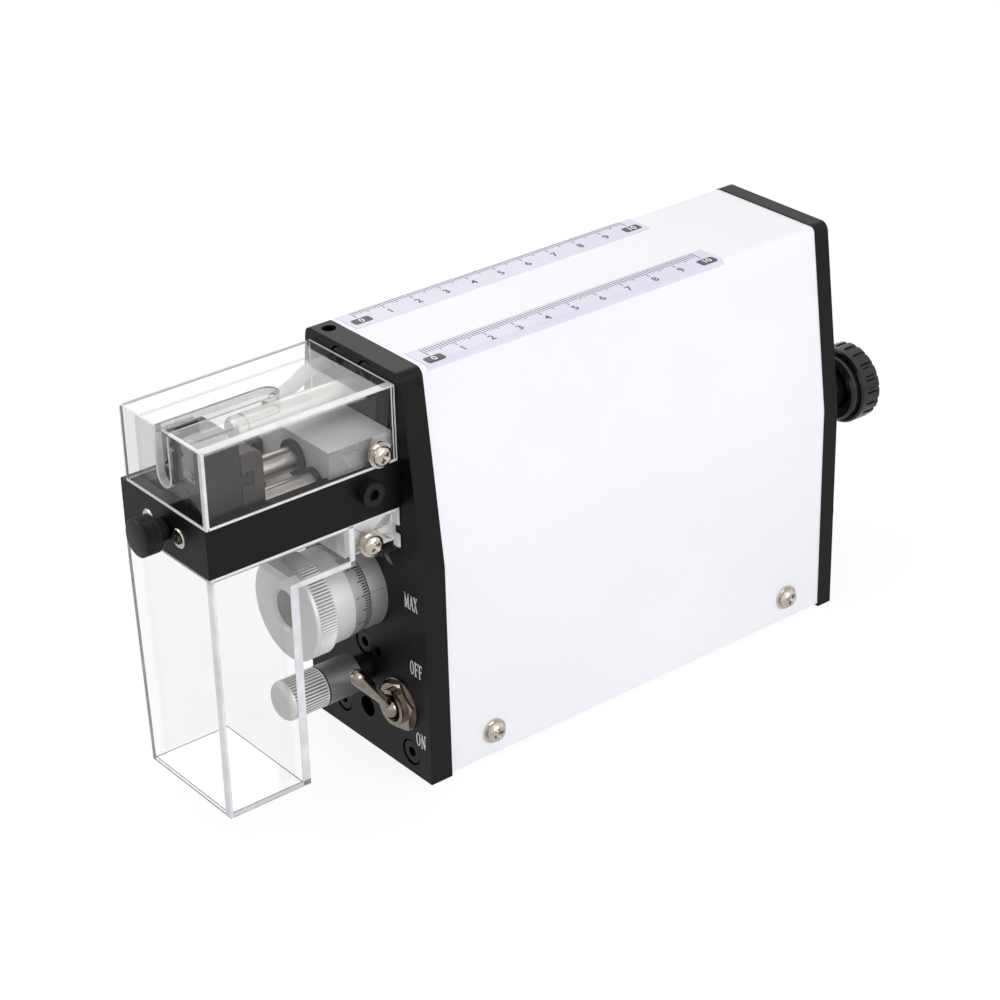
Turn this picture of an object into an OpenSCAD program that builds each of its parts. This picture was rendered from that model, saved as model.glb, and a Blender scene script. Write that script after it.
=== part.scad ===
// Pneumatic wire stripping machine, bench type, as an assembly of separate pieces.
// Millimetres. +Z is up, -Y is the end where the wire goes in, +X is the side with the switch.
// The origin is the middle of the underside of the base plate.
// The measures that start with a distance from the front are counted from the front
// face of the front plate: away from the machine they are called "out".

/* [Case] */
// length of the white housing between the end plates
case_len = 147.5; // [135:0.5:200]
// height of the end plates
case_height = 127.8; // [127:0.1:140]
// width of the case at the bottom
case_base_w = 57.7; // [57:0.1:70]
// width of the case at the top
case_top_w = 43.6; // [42.5:0.1:50]
// height of the crease where the sides start to lean in
crease_z = 69.2; // [62:0.1:76]
// radius of the two upper corners of the end plates
corner_r = 2.8; // [2.2:0.1:5]
// thickness of the front plate
front_t = 7.5; // [7:0.1:10]
// thickness of the rear plate
rear_t = 5.3; // [5:0.1:8]
// thickness of the bent housing sheet
sheet_t = 1.5; // [1:0.1:1.8]
// how far the housing sheet lies inside the outline of the plates
sheet_inset = 0.4; // [0.2:0.1:0.8]
// outer radius of the bends of the housing sheet
sheet_bend_r = 1.8; // [1.2:0.1:2.4]
// height of the lower edge of the housing sheet above the table
sheet_lift = 1.0; // [0.5:0.1:2]
// height of the base plate
base_h = 14.0; // [13.6:0.1:14.4]

// tapping diameter of the threaded hole in the top of the front plate
top_hole_d = 4.2; // [3.3:0.1:5]
// depth of that hole
top_hole_depth = 5.6; // [4:0.1:5.8]

/* [Case screws] */
// height of the housing screws
side_screw_z = 8.9; // [7.5:0.1:9.8]
// distance from the front of the first pair of housing screws
side_screw_front = 23.3; // [18:0.1:30]
// distance from the rear end of the housing to the second pair of housing screws
side_screw_back = 14.4; // [14:0.1:35]
// diameter of a pan head
pan_head_d = 6.0; // [5.5:0.1:6.4]
// height of a pan head
pan_head_h = 2.1; // [1.8:0.1:2.6]
// thread diameter of the small screws
pan_screw_d = 3.0; // [2.5:0.1:3.2]
// outer diameter of the washers under the pan heads
washer_d = 7.7; // [7:0.1:8]
// thickness of those washers
washer_t = 0.8; // [0.5:0.1:1]
// thread diameter of the socket screws
cap_screw_d = 4.0; // [3.5:0.1:4.2]
// head diameter of the socket screws
cap_head_d = 7.0; // [6.6:0.1:7.4]
// height of the heads of the socket screws
cap_head_h = 4.0; // [3.5:0.1:4.2]
// length of the socket screws that reach into the base plate
plate_screw_len = 14.0; // [12:0.5:15]
// length of the pan head screws
pan_screw_len = 9.0; // [8:0.5:9.5]
// diameter of the counterbores in the front plate
cap_bore_d = 8.2; // [7.8:0.1:8.4]
// width of the hexagon sockets across flats
hex_socket_w = 3.0; // [2.5:0.1:3.2]
// depth of the hexagon sockets
hex_socket_depth = 2.0; // [1.5:0.1:2.4]

/* [Rulers] */
// length of a ruler strip
ruler_len = 110.0; // [104:0.5:112]
// width of a ruler strip
ruler_w = 9.4; // [7:0.1:9.4]
// thickness of a ruler strip
ruler_t = 0.25; // [0.15:0.05:0.4]
// distance from the front to the near end of the strips
ruler_front = 9.0; // [8.5:0.1:12]
// distance between the middles of the two strips
ruler_gap = 30.2; // [28:0.1:30.2]

/* [Head frame] */
// how far the frame stands out in front of the front plate
frame_out = 62.7; // [61.5:0.1:64]
// how far the underside of the frame lies below the wire
frame_below = 29.9; // [29.6:0.1:30.3]
// height of the frame
frame_h = 14.5; // [14.2:0.1:14.8]
// distance from the middle to the right face of the frame
frame_right = 19.4; // [19.3:0.1:20.4]
// distance from the middle to the left face of the frame
frame_left = 22.0; // [21:0.1:22]
// distance from the middle to the inner faces of both arms
frame_inner = 15.0; // [14.8:0.1:15.4]
// thickness of the front wall of the frame
frame_front_t = 4.4; // [3.8:0.1:4.4]
// distance from the front of the plate to the screws that hold the arms
frame_screw_out = 10.7; // [9.5:0.1:12]
// height of the screws that hold the arms above the underside of the frame
frame_screw_up = 8.6; // [8:0.1:9.4]

/* [Front screws of the frame] */
// height of the thumb screw and the set screws above the underside of the frame
thumb_up = 7.3; // [7:0.1:7.9]
// how far the thumb screw sits to the left of the middle
thumb_left = 1.3; // [0:0.1:2]
// diameter of the knurled head of the thumb screw
thumb_d = 11.0; // [10:0.1:12]
// length of the knurled head
thumb_len = 5.3; // [4.5:0.1:7]
// gap between the frame and the knurled head
thumb_gap = 3.5; // [2:0.1:4.5]
// diameter of the neck behind the knurled head
thumb_neck_d = 6.5; // [6:0.1:8]
// thread diameter of the thumb screw
thumb_screw_d = 5.0; // [4:0.1:5.5]
// distance of the two set screws from the thumb screw
set_screw_x = 7.3; // [6.8:0.1:8]
// diameter of the set screws
set_screw_d = 5.8; // [5:0.1:6]
// how far the set screws stand out of the frame
set_screw_out = 0.5; // [0.2:0.1:0.8]
// radial clearance of the thumb screw in the frame
thumb_clear = 0.05; // [0.03:0.01:0.1]

/* [Clear cover] */
// width of the cover
cover_w = 39.2; // [38.4:0.1:39.6]
// how far the front of the cover lies behind the front of the frame
cover_step = 0.2; // [0.1:0.1:1.4]
// height of the cover above the frame
cover_h = 22.9; // [22.4:0.1:24]
// wall thickness of the cover
cover_t = 2.8; // [2.4:0.1:2.9]
// width of the slot for the wire
slot_w = 7.0; // [5:0.1:8]
// how far the lowest point of the slot lies below the wire
slot_below = 9.3; // [7:0.1:11]
// distance from the front plate to the rear end of the slot
slot_rear_out = 25.1; // [22:0.1:30]
// height of the cover screws above the top of the frame
cover_screw_up = 3.9; // [3.9:0.1:4.4]
// distance from the front plate to the cover screws
cover_screw_out = 6.3; // [5.5:0.1:8]

/* [Waste bin] */
// height of the underside of the bin
bin_z = 11.5; // [8:0.1:16]
// distance from the middle to the upper part of the left wall
bin_left = 23.2; // [22:0.1:23.8]
// distance from the middle to the foot of the left wall, which leans out upward
bin_left_low = 20.4; // [19.4:0.1:21]
// how far the front of the bin lies behind the front of the frame
bin_step = 0.7; // [0.1:0.1:2.2]
// distance from the front plate to the back of the deep part
bin_back_out = 36.0; // [33:0.1:40]
// distance from the front plate to the back of the shallow part
bin_shelf_out = 17.4; // [17.2:0.1:19]
// height of the shallow part of the bin
bin_shelf_h = 12.6; // [12.1:0.1:13.1]
// wall thickness of the bin
bin_t = 2.6; // [2:0.1:3]
// how far the bin screws lie below the frame
bin_screw_below = 7.6; // [6.1:0.1:8.1]
// distance from the front plate to the bin screws
bin_screw_out = 10.5; // [9:0.1:11.5]
// length of the pointed tab under the bin flange
pointer_len = 4.9; // [3:0.1:5]

/* [Guide block] */
// distance from the front plate to the front face of the guide block
guide_out = 21.0; // [20:0.1:22]
// how far the top of the guide block lies below the wire
guide_top_below = 7.4; // [7:0.1:7.7]
// outer diameter of the bushings in the guide block
bush_d = 10.6; // [10.2:0.1:10.8]
// outer diameter of the bushing of the guide shaft
guide_bush_d = 8.8; // [8.6:0.1:9]
// how far the bushings stand out of the guide block
bush_lip = 1.2; // [0.8:0.1:1.6]

/* [Carriage] */
// distance from the middle to the line of the wire
wire_x = 0.5; // [0:0.1:1]
// how far the wire lies below the top of the case
wire_below = 10.8; // [10.6:0.1:11]
// diameter of the pull shaft
shaft_d = 7.0; // [6.6:0.1:7.4]
// how far the pull shaft lies below the wire
shaft_below = 14.6; // [14.4:0.1:15]
// diameter of the closing rod inside the pull shaft
closing_rod_d = 4.0; // [3.6:0.1:4.4]
// diameter of the guide shaft
guide_shaft_d = 7.0; // [6.4:0.1:7]
// distance from the wire line to the guide shaft
guide_shaft_dx = 9.0; // [8.9:0.1:9.2]
// how far the guide shaft lies below the pull shaft
guide_shaft_below = 4.2; // [3.8:0.1:4.6]
// radial clearance of a shaft in its bushing
shaft_clear = 0.05; // [0.03:0.01:0.1]
// thickness of the carrier block
carrier_t = 6.9; // [6.6:0.1:7.2]
// half of the width of the carrier block
carrier_half_w = 13.3; // [12.8:0.1:13.6]
// how far the top of the carrier block lies below the wire
carrier_top_below = 0.4; // [-1:0.1:1]
// how far the underside of the carrier block lies below the wire
carrier_bottom_below = 27.0; // [26:0.1:28.5]
// how far the carriage is drawn back
strip_travel = 13.0; // [10:0.5:13]

/* [Jaws] */
// length of the jaws in front of the carrier block
jaw_len = 11.3; // [11:0.1:11.6]
// height of the jaws above the wire
jaw_top_up = 3.0; // [2.4:0.1:3.8]
// how far the underside of the jaws lies below the wire
jaw_bottom_below = 20.5; // [20:0.1:20.7]
// height of the middle of the tee slot below the wire
tee_below = 8.0; // [7.8:0.1:8.2]
// height of the underside of the closing cam below the wire
cam_below = 25.0; // [24.8:0.1:25.2]
// thickness of the closing cam
cam_t = 3.8; // [3.4:0.1:3.8]
// length of the closing cam
cam_len = 7.1; // [7:0.1:7.4]
// distance from the wire line to the pin of the right jaw
cam_pin_right = 8.5; // [8.3:0.1:8.7]
// distance from the wire line to the pin of the left jaw
cam_pin_left = 6.4; // [6.3:0.1:6.5]
// gap between a jaw and the pieces next to it
jaw_gap = 0.3; // [0.2:0.05:0.4]
// distance from the wire line to the inner face of an open jaw
jaw_open = 2.3; // [2.1:0.1:2.6]
// width of the left jaw
jaw_left_w = 6.4; // [6.3:0.1:7.4]
// width of the right jaw
jaw_right_w = 11.0; // [9.5:0.1:11]
// how far each jaw moves when it closes
jaw_travel = 1.5; // [1.2:0.1:1.5]
// how far the closing rod moves for that
closing_travel = 3.0; // [2.5:0.1:3]
// diameter of the pin under each jaw
jaw_pin_d = 2.5; // [2.2:0.1:2.6]
// thickness of a blade
blade_t = 1.0; // [0.8:0.05:1.1]
// depth of the notch in a blade
blade_notch = 1.5; // [1:0.1:1.8]
// head diameter of a blade screw
blade_screw_d = 3.8; // [3.2:0.1:4]

/* [Trigger rod] */
// diameter of the trigger rod
trigger_d = 7.2; // [6.6:0.1:7.2]
// distance from the front of the carrier block back to the tip of the trigger rod
trigger_back = 5.7; // [5.3:0.1:6.3]
// length of the block that guides the trigger rod
trigger_block_len = 20.0; // [16:0.5:24]
// half of the width of that block
trigger_block_half_w = 10.0; // [9.4:0.1:12]
// how far the wire pushes the trigger rod
trigger_travel = 3.0; // [2:0.1:4]
// radial clearance of the trigger rod
trigger_clear = 0.05; // [0.03:0.01:0.1]

/* [Depth dial] */
// distance from the middle to the axis of both dials, to the left
dial_x = 1.7; // [1:0.1:2.4]
// how far the axis of the depth dial lies below the bin
dial_below = 19.8; // [19:0.1:20.5]
// diameter of the graduated barrel
dial_d = 26.6; // [25:0.1:27]
// diameter of the knurled rim
dial_rim_d = 30.8; // [29:0.1:31]
// distance from the front plate to the face of the dial
dial_out = 26.0; // [24:0.1:28]
// length of the plain ring in front of the knurl
dial_ring_len = 1.4; // [1:0.1:2]
// length of the knurled rim
dial_knurl_len = 6.0; // [5:0.1:7]
// diameter of the smooth sleeve behind the knurled rim
dial_sleeve_d = 27.8; // [27.2:0.1:28.4]
// length of the sloped end of the sleeve that carries the graduation
dial_bevel_len = 5.6; // [4.5:0.1:6.2]
// length of the fixed barrel
dial_barrel_len = 5.7; // [4.5:0.1:6]
// diameter of the hollow in the face
dial_hollow_d = 12.0; // [10:0.1:14]
// depth of that hollow
dial_hollow_depth = 1.2; // [0.6:0.1:2]
// diameter of the screw of the dial
dial_screw_d = 6.0; // [5:0.1:7]
// pitch of the screw of the dial
dial_pitch = 1.0; // [0.5:0.05:1.25]
// how far the depth stop can move
depth_travel = 5.0; // [3:0.5:6]
// axial gap between a dial and its barrel
dial_gap = 0.3; // [0.2:0.05:0.5]

/* [Fine dial] */
// how far the fine dial lies below half the height of the depth dial
fine_below = 1.55; // [1:0.05:2.2]
// diameter of the fine dial
fine_d = 12.1; // [11:0.1:12.4]
// distance from the front plate to the face of the fine dial
fine_out = 30.0; // [27:0.1:33]
// length of the plain cap of the fine dial
fine_cap_len = 5.5; // [4:0.1:7]
// length of the knurled part
fine_knurl_len = 8.0; // [6:0.1:9]
// distance from the front plate to the rear end of the barrel
fine_nut_len = 5.0; // [4:0.1:6]
// diameter of the black nut behind the barrel
fine_nut_d = 8.4; // [8:0.1:8.6]
// diameter of the screw of the fine dial
fine_screw_d = 4.0; // [3:0.1:5]

/* [Switch] */
// distance from the middle to the switch
switch_x = 15.5; // [15:0.1:15.8]
// height of the switch above the base plate
switch_up = 7.5; // [7.2:0.1:8]
// width of the hexagon nut across flats
switch_nut_w = 13.8; // [13:0.1:14.2]
// how far the nut is turned about the switch, in degrees
switch_nut_turn = 14.5; // [0:0.5:60]
// thickness of that nut
switch_nut_t = 1.5; // [1.3:0.1:2.2]
// outer diameter of the switch washer
switch_washer_d = 16.3; // [15:0.1:16.6]
// thickness of the switch washer
switch_washer_t = 0.7; // [0.5:0.1:0.9]
// diameter of the threaded bush
switch_bush_d = 11.0; // [10:0.1:11.4]
// how far the threaded bush stands out of the plate
switch_bush_out = 3.8; // [3.6:0.1:4.2]
// length of the switch body behind the plate
switch_body_len = 18.0; // [14:0.5:20]
// diameter of the ball of the lever
switch_ball_d = 6.0; // [5:0.1:6.4]
// length of the lever from the ball to its tip
switch_lever_len = 18.7; // [16:0.1:20]
// diameter of the tip of the lever
switch_tip_d = 4.7; // [4:0.1:5.2]
// diameter of the lever where it leaves the ball
switch_neck_d = 2.9; // [2.4:0.1:3.2]
// lean of the lever from the level line, in degrees
switch_lean = 52; // [46:1:54]

/* [Rear end] */
// height of the stroke knob and of the pull cylinder
stroke_z = 56.7; // [56.4:0.1:57.2]
// distance from the rear plate to the far rim of the knob
knob_out = 36.7; // [32:0.1:40]
// diameter of the fluted knob
knob_d = 25.2; // [24:0.1:26]
// length of the fluted rim
knob_rim_len = 8.3; // [7:0.1:9]
// diameter of the hub of the knob
knob_hub_d = 22.0; // [20:0.1:22.8]
// length of the hub in front of the rim
knob_hub_len = 2.8; // [2:0.1:4]
// diameter of the sleeve inside the hollow of the hub
knob_sleeve_d = 13.0; // [11:0.1:14]
// number of flutes of the knob
knob_flutes = 19; // [12:1:24]
// width of the round grooves around the rim of the knob
knob_flute_w = 1.8; // [1.4:0.1:2.2]
// distance from the near edge of the rim to the round ends of the grooves
knob_flute_in = 2.1; // [1.5:0.1:3]
// diameter of the stroke screw
stroke_screw_d = 8.0; // [7:0.1:9]
// diameter of the lock ring on the stroke screw
lock_ring_d = 16.0; // [14:0.1:18]
// thickness of the lock ring
lock_ring_t = 4.0; // [3:0.1:6]
// radial clearance of the stroke screw
stroke_clear = 0.05; // [0.03:0.01:0.1]
// distance from the middle to the air inlet, to the right
inlet_x = 14.0; // [12:0.1:15]
// height of the air inlet and of the silencer
inlet_z = 26.0; // [24:0.1:28]
// bore of the air inlet
inlet_bore_d = 6.0; // [4:0.1:6.4]

/* [Inner works] */
// distance from the front to the crosshead
cross_y = 38.0; // [36:0.5:39]
// thickness of the crosshead
cross_t = 8.0; // [7:0.5:9]
// distance from the front to the depth stop
stop_y = 12.0; // [10:0.5:14]
// thickness of the depth stop
stop_t = 10.0; // [8:0.5:11]
// half of the height of the depth stop
stop_half_h = 8.7; // [8:0.1:9.5]
// diameter of the pin beside the depth stop
stop_pin_d = 4.0; // [3:0.1:4.4]
// distance from the front to the rear end of that pin
stop_pin_end = 34.0; // [30:0.5:36]
// distance from the front to the rear end of the dial screw
dial_screw_end = 32.0; // [28:0.5:34]
// length of the valve block
valve_len = 66.0; // [50:0.5:70]
// half of the width of the valve block
valve_half_w = 19.0; // [17:0.1:21]
// height of the top of the valve block
valve_top = 36.0; // [34:0.1:38]
// distance from the rear end of the valve block to the rear plate
valve_gap = 27.0; // [24:0.5:30]
// depth of the ports in the valve block
port_depth = 12.0; // [10:0.5:14]
// diameter of the ports and of the pipe ends in them
port_d = 10.0; // [8:0.1:11]

/* [Air cylinders] */
// length of the closing cylinder
closing_len = 36.0; // [34:0.5:38]
// length of the pull cylinder
pull_len = 85.0; // [80:0.5:85]
// distance from the rear plate to the inner end of the stroke screw
stroke_tip_gap = 49.0; // [45:0.5:52]
// outer diameter of the closing cylinder
closing_cyl_d = 28.0; // [25:0.1:28]
// bore of the closing cylinder
closing_bore_d = 22.0; // [19:0.1:22.4]
// outer diameter of the pull cylinder
pull_cyl_d = 35.0; // [33:0.1:35.6]
// bore of the pull cylinder
pull_bore_d = 28.0; // [25:0.1:28.6]
// diameter of the pull rod
pull_rod_d = 8.0; // [7:0.1:9]
// thickness of the pull piston
pull_piston_t = 12.0; // [10:0.5:14]
// distance from the front end of the pull cylinder to its piston
pull_piston_gap = 8.0; // [7:0.5:10]
// thickness of the closing piston
closing_piston_t = 7.0; // [6:0.5:9]
// distance from the front end of the closing cylinder to its piston
closing_piston_gap = 7.0; // [6:0.5:9]
// radial clearance of the pistons
piston_clear = 0.05; // [0.03:0.01:0.1]

/* [Hidden] */
$fn = 72;
front_y = -(case_len / 2 + front_t);
rear_y = case_len / 2 + rear_t;
half_base = case_base_w / 2;
half_top = case_top_w / 2;
wire_z = case_height - wire_below;
frame_z = wire_z - frame_below;
frame_top_z = frame_z + frame_h;
frame_screw_z = frame_z + frame_screw_up;
thumb_z = frame_z + thumb_up;
slot_z = wire_z - slot_below;
cover_out = frame_out - cover_step;
cover_screw_z = frame_top_z + cover_screw_up;
bin_out = frame_out - bin_step;
bin_shelf_z = frame_z - bin_shelf_h;
bin_screw_z = frame_z - bin_screw_below;
guide_top_z = wire_z - guide_top_below;
shaft_z = wire_z - shaft_below;
guide_shaft_z = shaft_z - guide_shaft_below;
jaw_out = frame_out - frame_front_t - jaw_gap;
jaw_top_z = wire_z + jaw_top_up;
jaw_bottom_z = wire_z - jaw_bottom_below;
carrier_out = jaw_out - jaw_len;
carrier_top_z = wire_z - carrier_top_below;
carrier_bottom_z = wire_z - carrier_bottom_below;
trigger_out = carrier_out - trigger_back;
dial_z = bin_shelf_z - dial_below;
fine_z = dial_z / 2 - fine_below;
switch_z = base_h + switch_up;
cover_top_z = frame_top_z + cover_h;
shaft_r = shaft_d / 2;
guide_shaft_x = wire_x + guide_shaft_dx;
guide_shaft_r = guide_shaft_d / 2;
carrier_back = -carrier_out + carrier_t;
jaw_back = -carrier_out - jaw_gap;
closing_y = cross_y + cross_t;
inside_len = case_len + front_t;
pull_y = inside_len - pull_len;
stroke_tip_y = inside_len - stroke_tip_gap;
valve_rear = inside_len - valve_gap;
dial_back = -dial_barrel_len - dial_gap;
fine_front_len = fine_cap_len + fine_knurl_len;
fine_back = -fine_out + fine_front_len;

// ---- helpers

// a round bar along Y between two distances
module rod_y(d, y0, y1) {
  translate([0, y1, 0]) rotate([90, 0, 0]) cylinder(d = d, h = y1 - y0);
}

// a tapered round bar along Y
module cone_y(d0, d1, y0, y1) {
  translate([0, y0, 0]) rotate([-90, 0, 0]) cylinder(d1 = d0, d2 = d1, h = y1 - y0);
}

// a round bar along X between two distances
module rod_x(d, x0, x1) {
  translate([x0, 0, 0]) rotate([0, 90, 0]) cylinder(d = d, h = x1 - x0);
}

// a box between two corners
module block(x0, x1, y0, y1, z0, z1) {
  translate([x0, y0, z0]) cube([x1 - x0, y1 - y0, z1 - z0]);
}

// a hexagon bar along Y, measured across flats
module hex_y(w, y0, y1) {
  c = w / 2;
  s = c / cos(30) / 2;
  translate([0, y1, 0]) rotate([90, 0, 0]) linear_extrude(height = y1 - y0)
    polygon([[c, s], [0, 2 * s], [-c, s], [-c, -s], [0, -2 * s], [c, -s]]);
}

// a hexagon bar along X, measured across flats
module hex_x(w, x0, x1) {
  c = w / 2;
  s = c / cos(30) / 2;
  translate([x0, 0, 0]) rotate([0, 90, 0]) linear_extrude(height = x1 - x0)
    polygon([[c, s], [0, 2 * s], [-c, s], [-c, -s], [0, -2 * s], [c, -s]]);
}

// the outline of the end plates, drawn smaller by an inset, with round upper corners
module outline(inset, r) {
  lean = atan((half_base - half_top) / (case_height - crease_z));
  top = case_height - inset;
  foot = half_base - inset;
  crown = half_top + inset * tan(lean) - inset / cos(lean);
  knee = top - (foot - crown) / tan(lean);
  cx = crown + r * tan(lean) - r / cos(lean);
  cz = top - r;
  polygon([[foot, 0], [foot, knee], [cx + r * cos(lean), cz + r * sin(lean)], [cx, top],
    [-cx, top], [-cx - r * cos(lean), cz + r * sin(lean)], [-foot, knee], [-foot, 0]]);
  translate([cx, cz]) circle(r = r);
  translate([-cx, cz]) circle(r = r);
}

// everything in here is placed with the front face of the front plate at y = 0
module from_front() {
  translate([0, front_y, 0]) children();
}

// a cross recess for a pan head that points along +X
module cross_recess(x0, x1) {
  block(x0, x1, -1.7, 1.7, -0.35, 0.35);
  block(x0, x1, -0.35, 0.35, -1.7, 1.7);
}

// a pan head screw along X, its head standing on x = 0 and pointing to +X
module pan_screw(len) {
  difference() {
    union() {
      rod_x(pan_screw_d, -len, 0.01);
      rod_x(pan_head_d, 0, pan_head_h * 0.45);
      translate([pan_head_h * 0.45, 0, 0]) rotate([0, 90, 0])
        cylinder(d1 = pan_head_d, d2 = pan_head_d * 0.62, h = pan_head_h * 0.55);
    }
    cross_recess(pan_head_h * 0.45, pan_head_h + 1);
  }
}

// a washer along X that lies on x = 0
module washer_x() {
  difference() {
    rod_x(washer_d, 0, washer_t);
    rod_x(pan_screw_d + 0.2, -1, washer_t + 1);
  }
}

// a socket screw along Y whose head is in front of y = 0
module cap_screw_y(len) {
  difference() {
    union() {
      rod_y(cap_head_d, -cap_head_h, 0);
      rod_y(cap_screw_d, -0.01, len);
    }
    hex_y(hex_socket_w, -cap_head_h - 1, -cap_head_h + hex_socket_depth);
  }
}

// a socket screw along X whose head is to the right of x = 0
module cap_screw_x(len) {
  difference() {
    union() {
      rod_x(cap_head_d, 0, cap_head_h * 0.8);
      rod_x(cap_screw_d, -len, 0.01);
    }
    hex_x(hex_socket_w, cap_head_h * 0.8 - hex_socket_depth, cap_head_h + 1);
  }
}

// ---- case

base_screw_x = 19.5;
base_screw_z = 6.8;
left_screw_x = -13.6;
left_screw_z = 9.4;
mid_screw_x = -1.4;
mid_screw_z = dial_z / 2 + 7.05;
top_screw_x = 6.3;
top_screw_z = case_height - 5.2;
top_screw_mid = 0;
plain_hole_x = -1.2;
plain_hole_z = base_h - 1.4;
plain_hole_d = 6.6;
plain_hole_depth = 6.0;
small_hole_x = 5.4;
small_hole_d = 3.0;
edge_hole_x = -15.7;
cap_seat = 3.2;

// calls its children at the place of each socket screw of the front plate
module at_front_screws() {
  translate([base_screw_x, 0, base_screw_z]) children();
  translate([left_screw_x, 0, left_screw_z]) children();
  translate([mid_screw_x, 0, mid_screw_z]) children();
  translate([top_screw_mid + top_screw_x, 0, top_screw_z]) children();
  translate([top_screw_mid - top_screw_x, 0, top_screw_z]) children();
}

// black front plate with all its bores
module front_plate() {
  color([0.09, 0.09, 0.10]) from_front() difference() {
    translate([0, front_t, 0]) rotate([90, 0, 0])
      linear_extrude(height = front_t) outline(0, corner_r);
    at_front_screws() {
      rod_y(cap_bore_d, -1, cap_head_h + 0.3);
      rod_y(cap_screw_d + 0.3, -1, front_t + 1);
    }
    translate([wire_x, 0, shaft_z]) rod_y(shaft_d + 1.4, -1, front_t + 1);
    translate([guide_shaft_x, 0, guide_shaft_z]) rod_y(guide_shaft_d + 1.4, -1, front_t + 1);
    translate([wire_x, 0, wire_z]) rod_y(trigger_d + 2 * trigger_clear, -1, front_t + 1);
    translate([guide_screw_x, 0, guide_screw_z]) {
      rod_y(cap_screw_d + 0.3, -1, front_t + 1);
      rod_y(cap_bore_d, cap_seat, front_t + 1);
    }
    translate([-guide_screw_x, 0, guide_screw_z]) {
      rod_y(cap_screw_d + 0.3, -1, front_t + 1);
      rod_y(cap_bore_d, cap_seat, front_t + 1);
    }
    translate([plain_hole_x, 0, plain_hole_z]) rod_y(plain_hole_d, -1, plain_hole_depth);
    translate([small_hole_x, 0, mid_screw_z - 0.3]) rod_y(small_hole_d, -1, plain_hole_depth);
    translate([-dial_x, 0, dial_z]) rod_y(dial_spigot_d, -1, front_t + 1);
    translate([-dial_x, 0, fine_z]) rod_y(fine_spigot_d, -1, front_t + 1);
    translate([switch_x, 0, switch_z]) rod_y(switch_bush_d, -1, front_t + 1);
    translate([stop_pin_x, 0, stop_pin_z]) rod_y(stop_pin_d, front_t - 4, front_t + 1);
    translate([-air_x, 0, air_z]) rod_y(air_tube_d, -1, front_t + 1);
    translate([edge_hole_x, front_t / 2, case_height - top_hole_depth])
      cylinder(d = top_hole_d, h = 20);
  }
}

// black rear plate
module rear_plate() {
  color([0.09, 0.09, 0.10]) difference() {
    translate([0, rear_y, 0]) rotate([90, 0, 0])
      linear_extrude(height = rear_t) outline(0, corner_r);
    translate([0, 0, stroke_z])
      rod_y(stroke_screw_d + 2 * stroke_clear, rear_y - rear_t - 1, rear_y + 1);
    at_rear_screws() rod_y(cap_screw_d + 0.3, -rear_t - 1, 1);
    translate([inlet_x, 0, inlet_z]) rod_y(port_d, rear_y - rear_t - 1, rear_y + 1);
    translate([-inlet_x, 0, inlet_z]) rod_y(port_d, rear_y - rear_t - 1, rear_y + 1);
  }
}

rear_screw_x = 10.5;
rear_screw_dz = 10.5;
rear_low_x = 19.5;
rear_low_z = 6.8;

// calls its children at the outer face of the rear plate at each of its screws
module at_rear_screws() {
  for (s = [-1, 1]) {
    translate([s * rear_screw_x, rear_y, stroke_z + rear_screw_dz]) children();
    translate([s * rear_screw_x, rear_y, stroke_z - rear_screw_dz]) children();
    translate([s * rear_low_x, rear_y, rear_low_z]) children();
  }
}

// six socket screws in the rear plate
module rear_plate_screws() {
  color([0.10, 0.10, 0.11]) at_rear_screws()
    mirror([0, 1, 0]) cap_screw_y(rear_t + 8);
}

// bent white sheet over the machine
module housing_cover() {
  color([0.93, 0.94, 0.96]) difference() {
    translate([0, case_len / 2, 0]) rotate([90, 0, 0]) linear_extrude(height = case_len)
      difference() {
        outline(sheet_inset, sheet_bend_r);
        translate([0, -1]) outline_inner();
      }
    block(-half_base - 1, half_base + 1, -case_len, case_len, -1, sheet_lift);
    at_side_screws() rod_x(pan_screw_d + 0.3, -sheet_t - 2, 1);
  }
}

// the hollow inside of the sheet, a little taller so that it opens at the bottom
module outline_inner() {
  translate([0, 1]) outline(sheet_inset + sheet_t, sheet_bend_r * 0.4);
  translate([-half_base + sheet_inset + sheet_t, -1])
    square([case_base_w - 2 * (sheet_inset + sheet_t), 4]);
}

// calls its children at the outer face of the sheet, pointing outward along +X
module at_side_screws() {
  for (y = [side_screw_front, inside_len - side_screw_back]) {
    translate([half_base - sheet_inset, front_y + y, side_screw_z]) children();
    translate([-half_base + sheet_inset, front_y + y, side_screw_z])
      mirror([1, 0, 0]) children();
  }
}

// four pan head screws of the housing
module housing_screws() {
  color([0.72, 0.70, 0.66]) at_side_screws() translate([washer_t, 0, 0]) pan_screw(pan_screw_len);
}

// four washers of the housing
module housing_washers() {
  color([0.74, 0.72, 0.68]) at_side_screws() washer_x();
}

// aluminium base plate between the end plates
module base_plate() {
  w = half_base - sheet_inset - sheet_t;
  color([0.62, 0.63, 0.64]) difference() {
    block(-w, w, -case_len / 2, case_len / 2, 0, base_h);
    at_side_screws() rod_x(pan_screw_d, -14, 1);
    from_front() {
      translate([base_screw_x, 0, base_screw_z]) rod_y(cap_screw_d, 0, front_t + 13);
      translate([left_screw_x, 0, left_screw_z]) rod_y(cap_screw_d, 0, front_t + 13);
    }
    for (s = [-1, 1]) translate([s * rear_low_x, 0, rear_low_z])
      rod_y(cap_screw_d, case_len / 2 - 10, case_len / 2 + 1);
  }
}

// two self-adhesive ruler strips on the top of the housing
module ruler_strips() {
  color([0.80, 0.80, 0.90]) from_front() for (s = [-1, 1])
    translate([s * ruler_gap / 2 - ruler_w / 2, ruler_front, case_height - sheet_inset])
      cube([ruler_w, ruler_len, ruler_t]);
}

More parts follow.
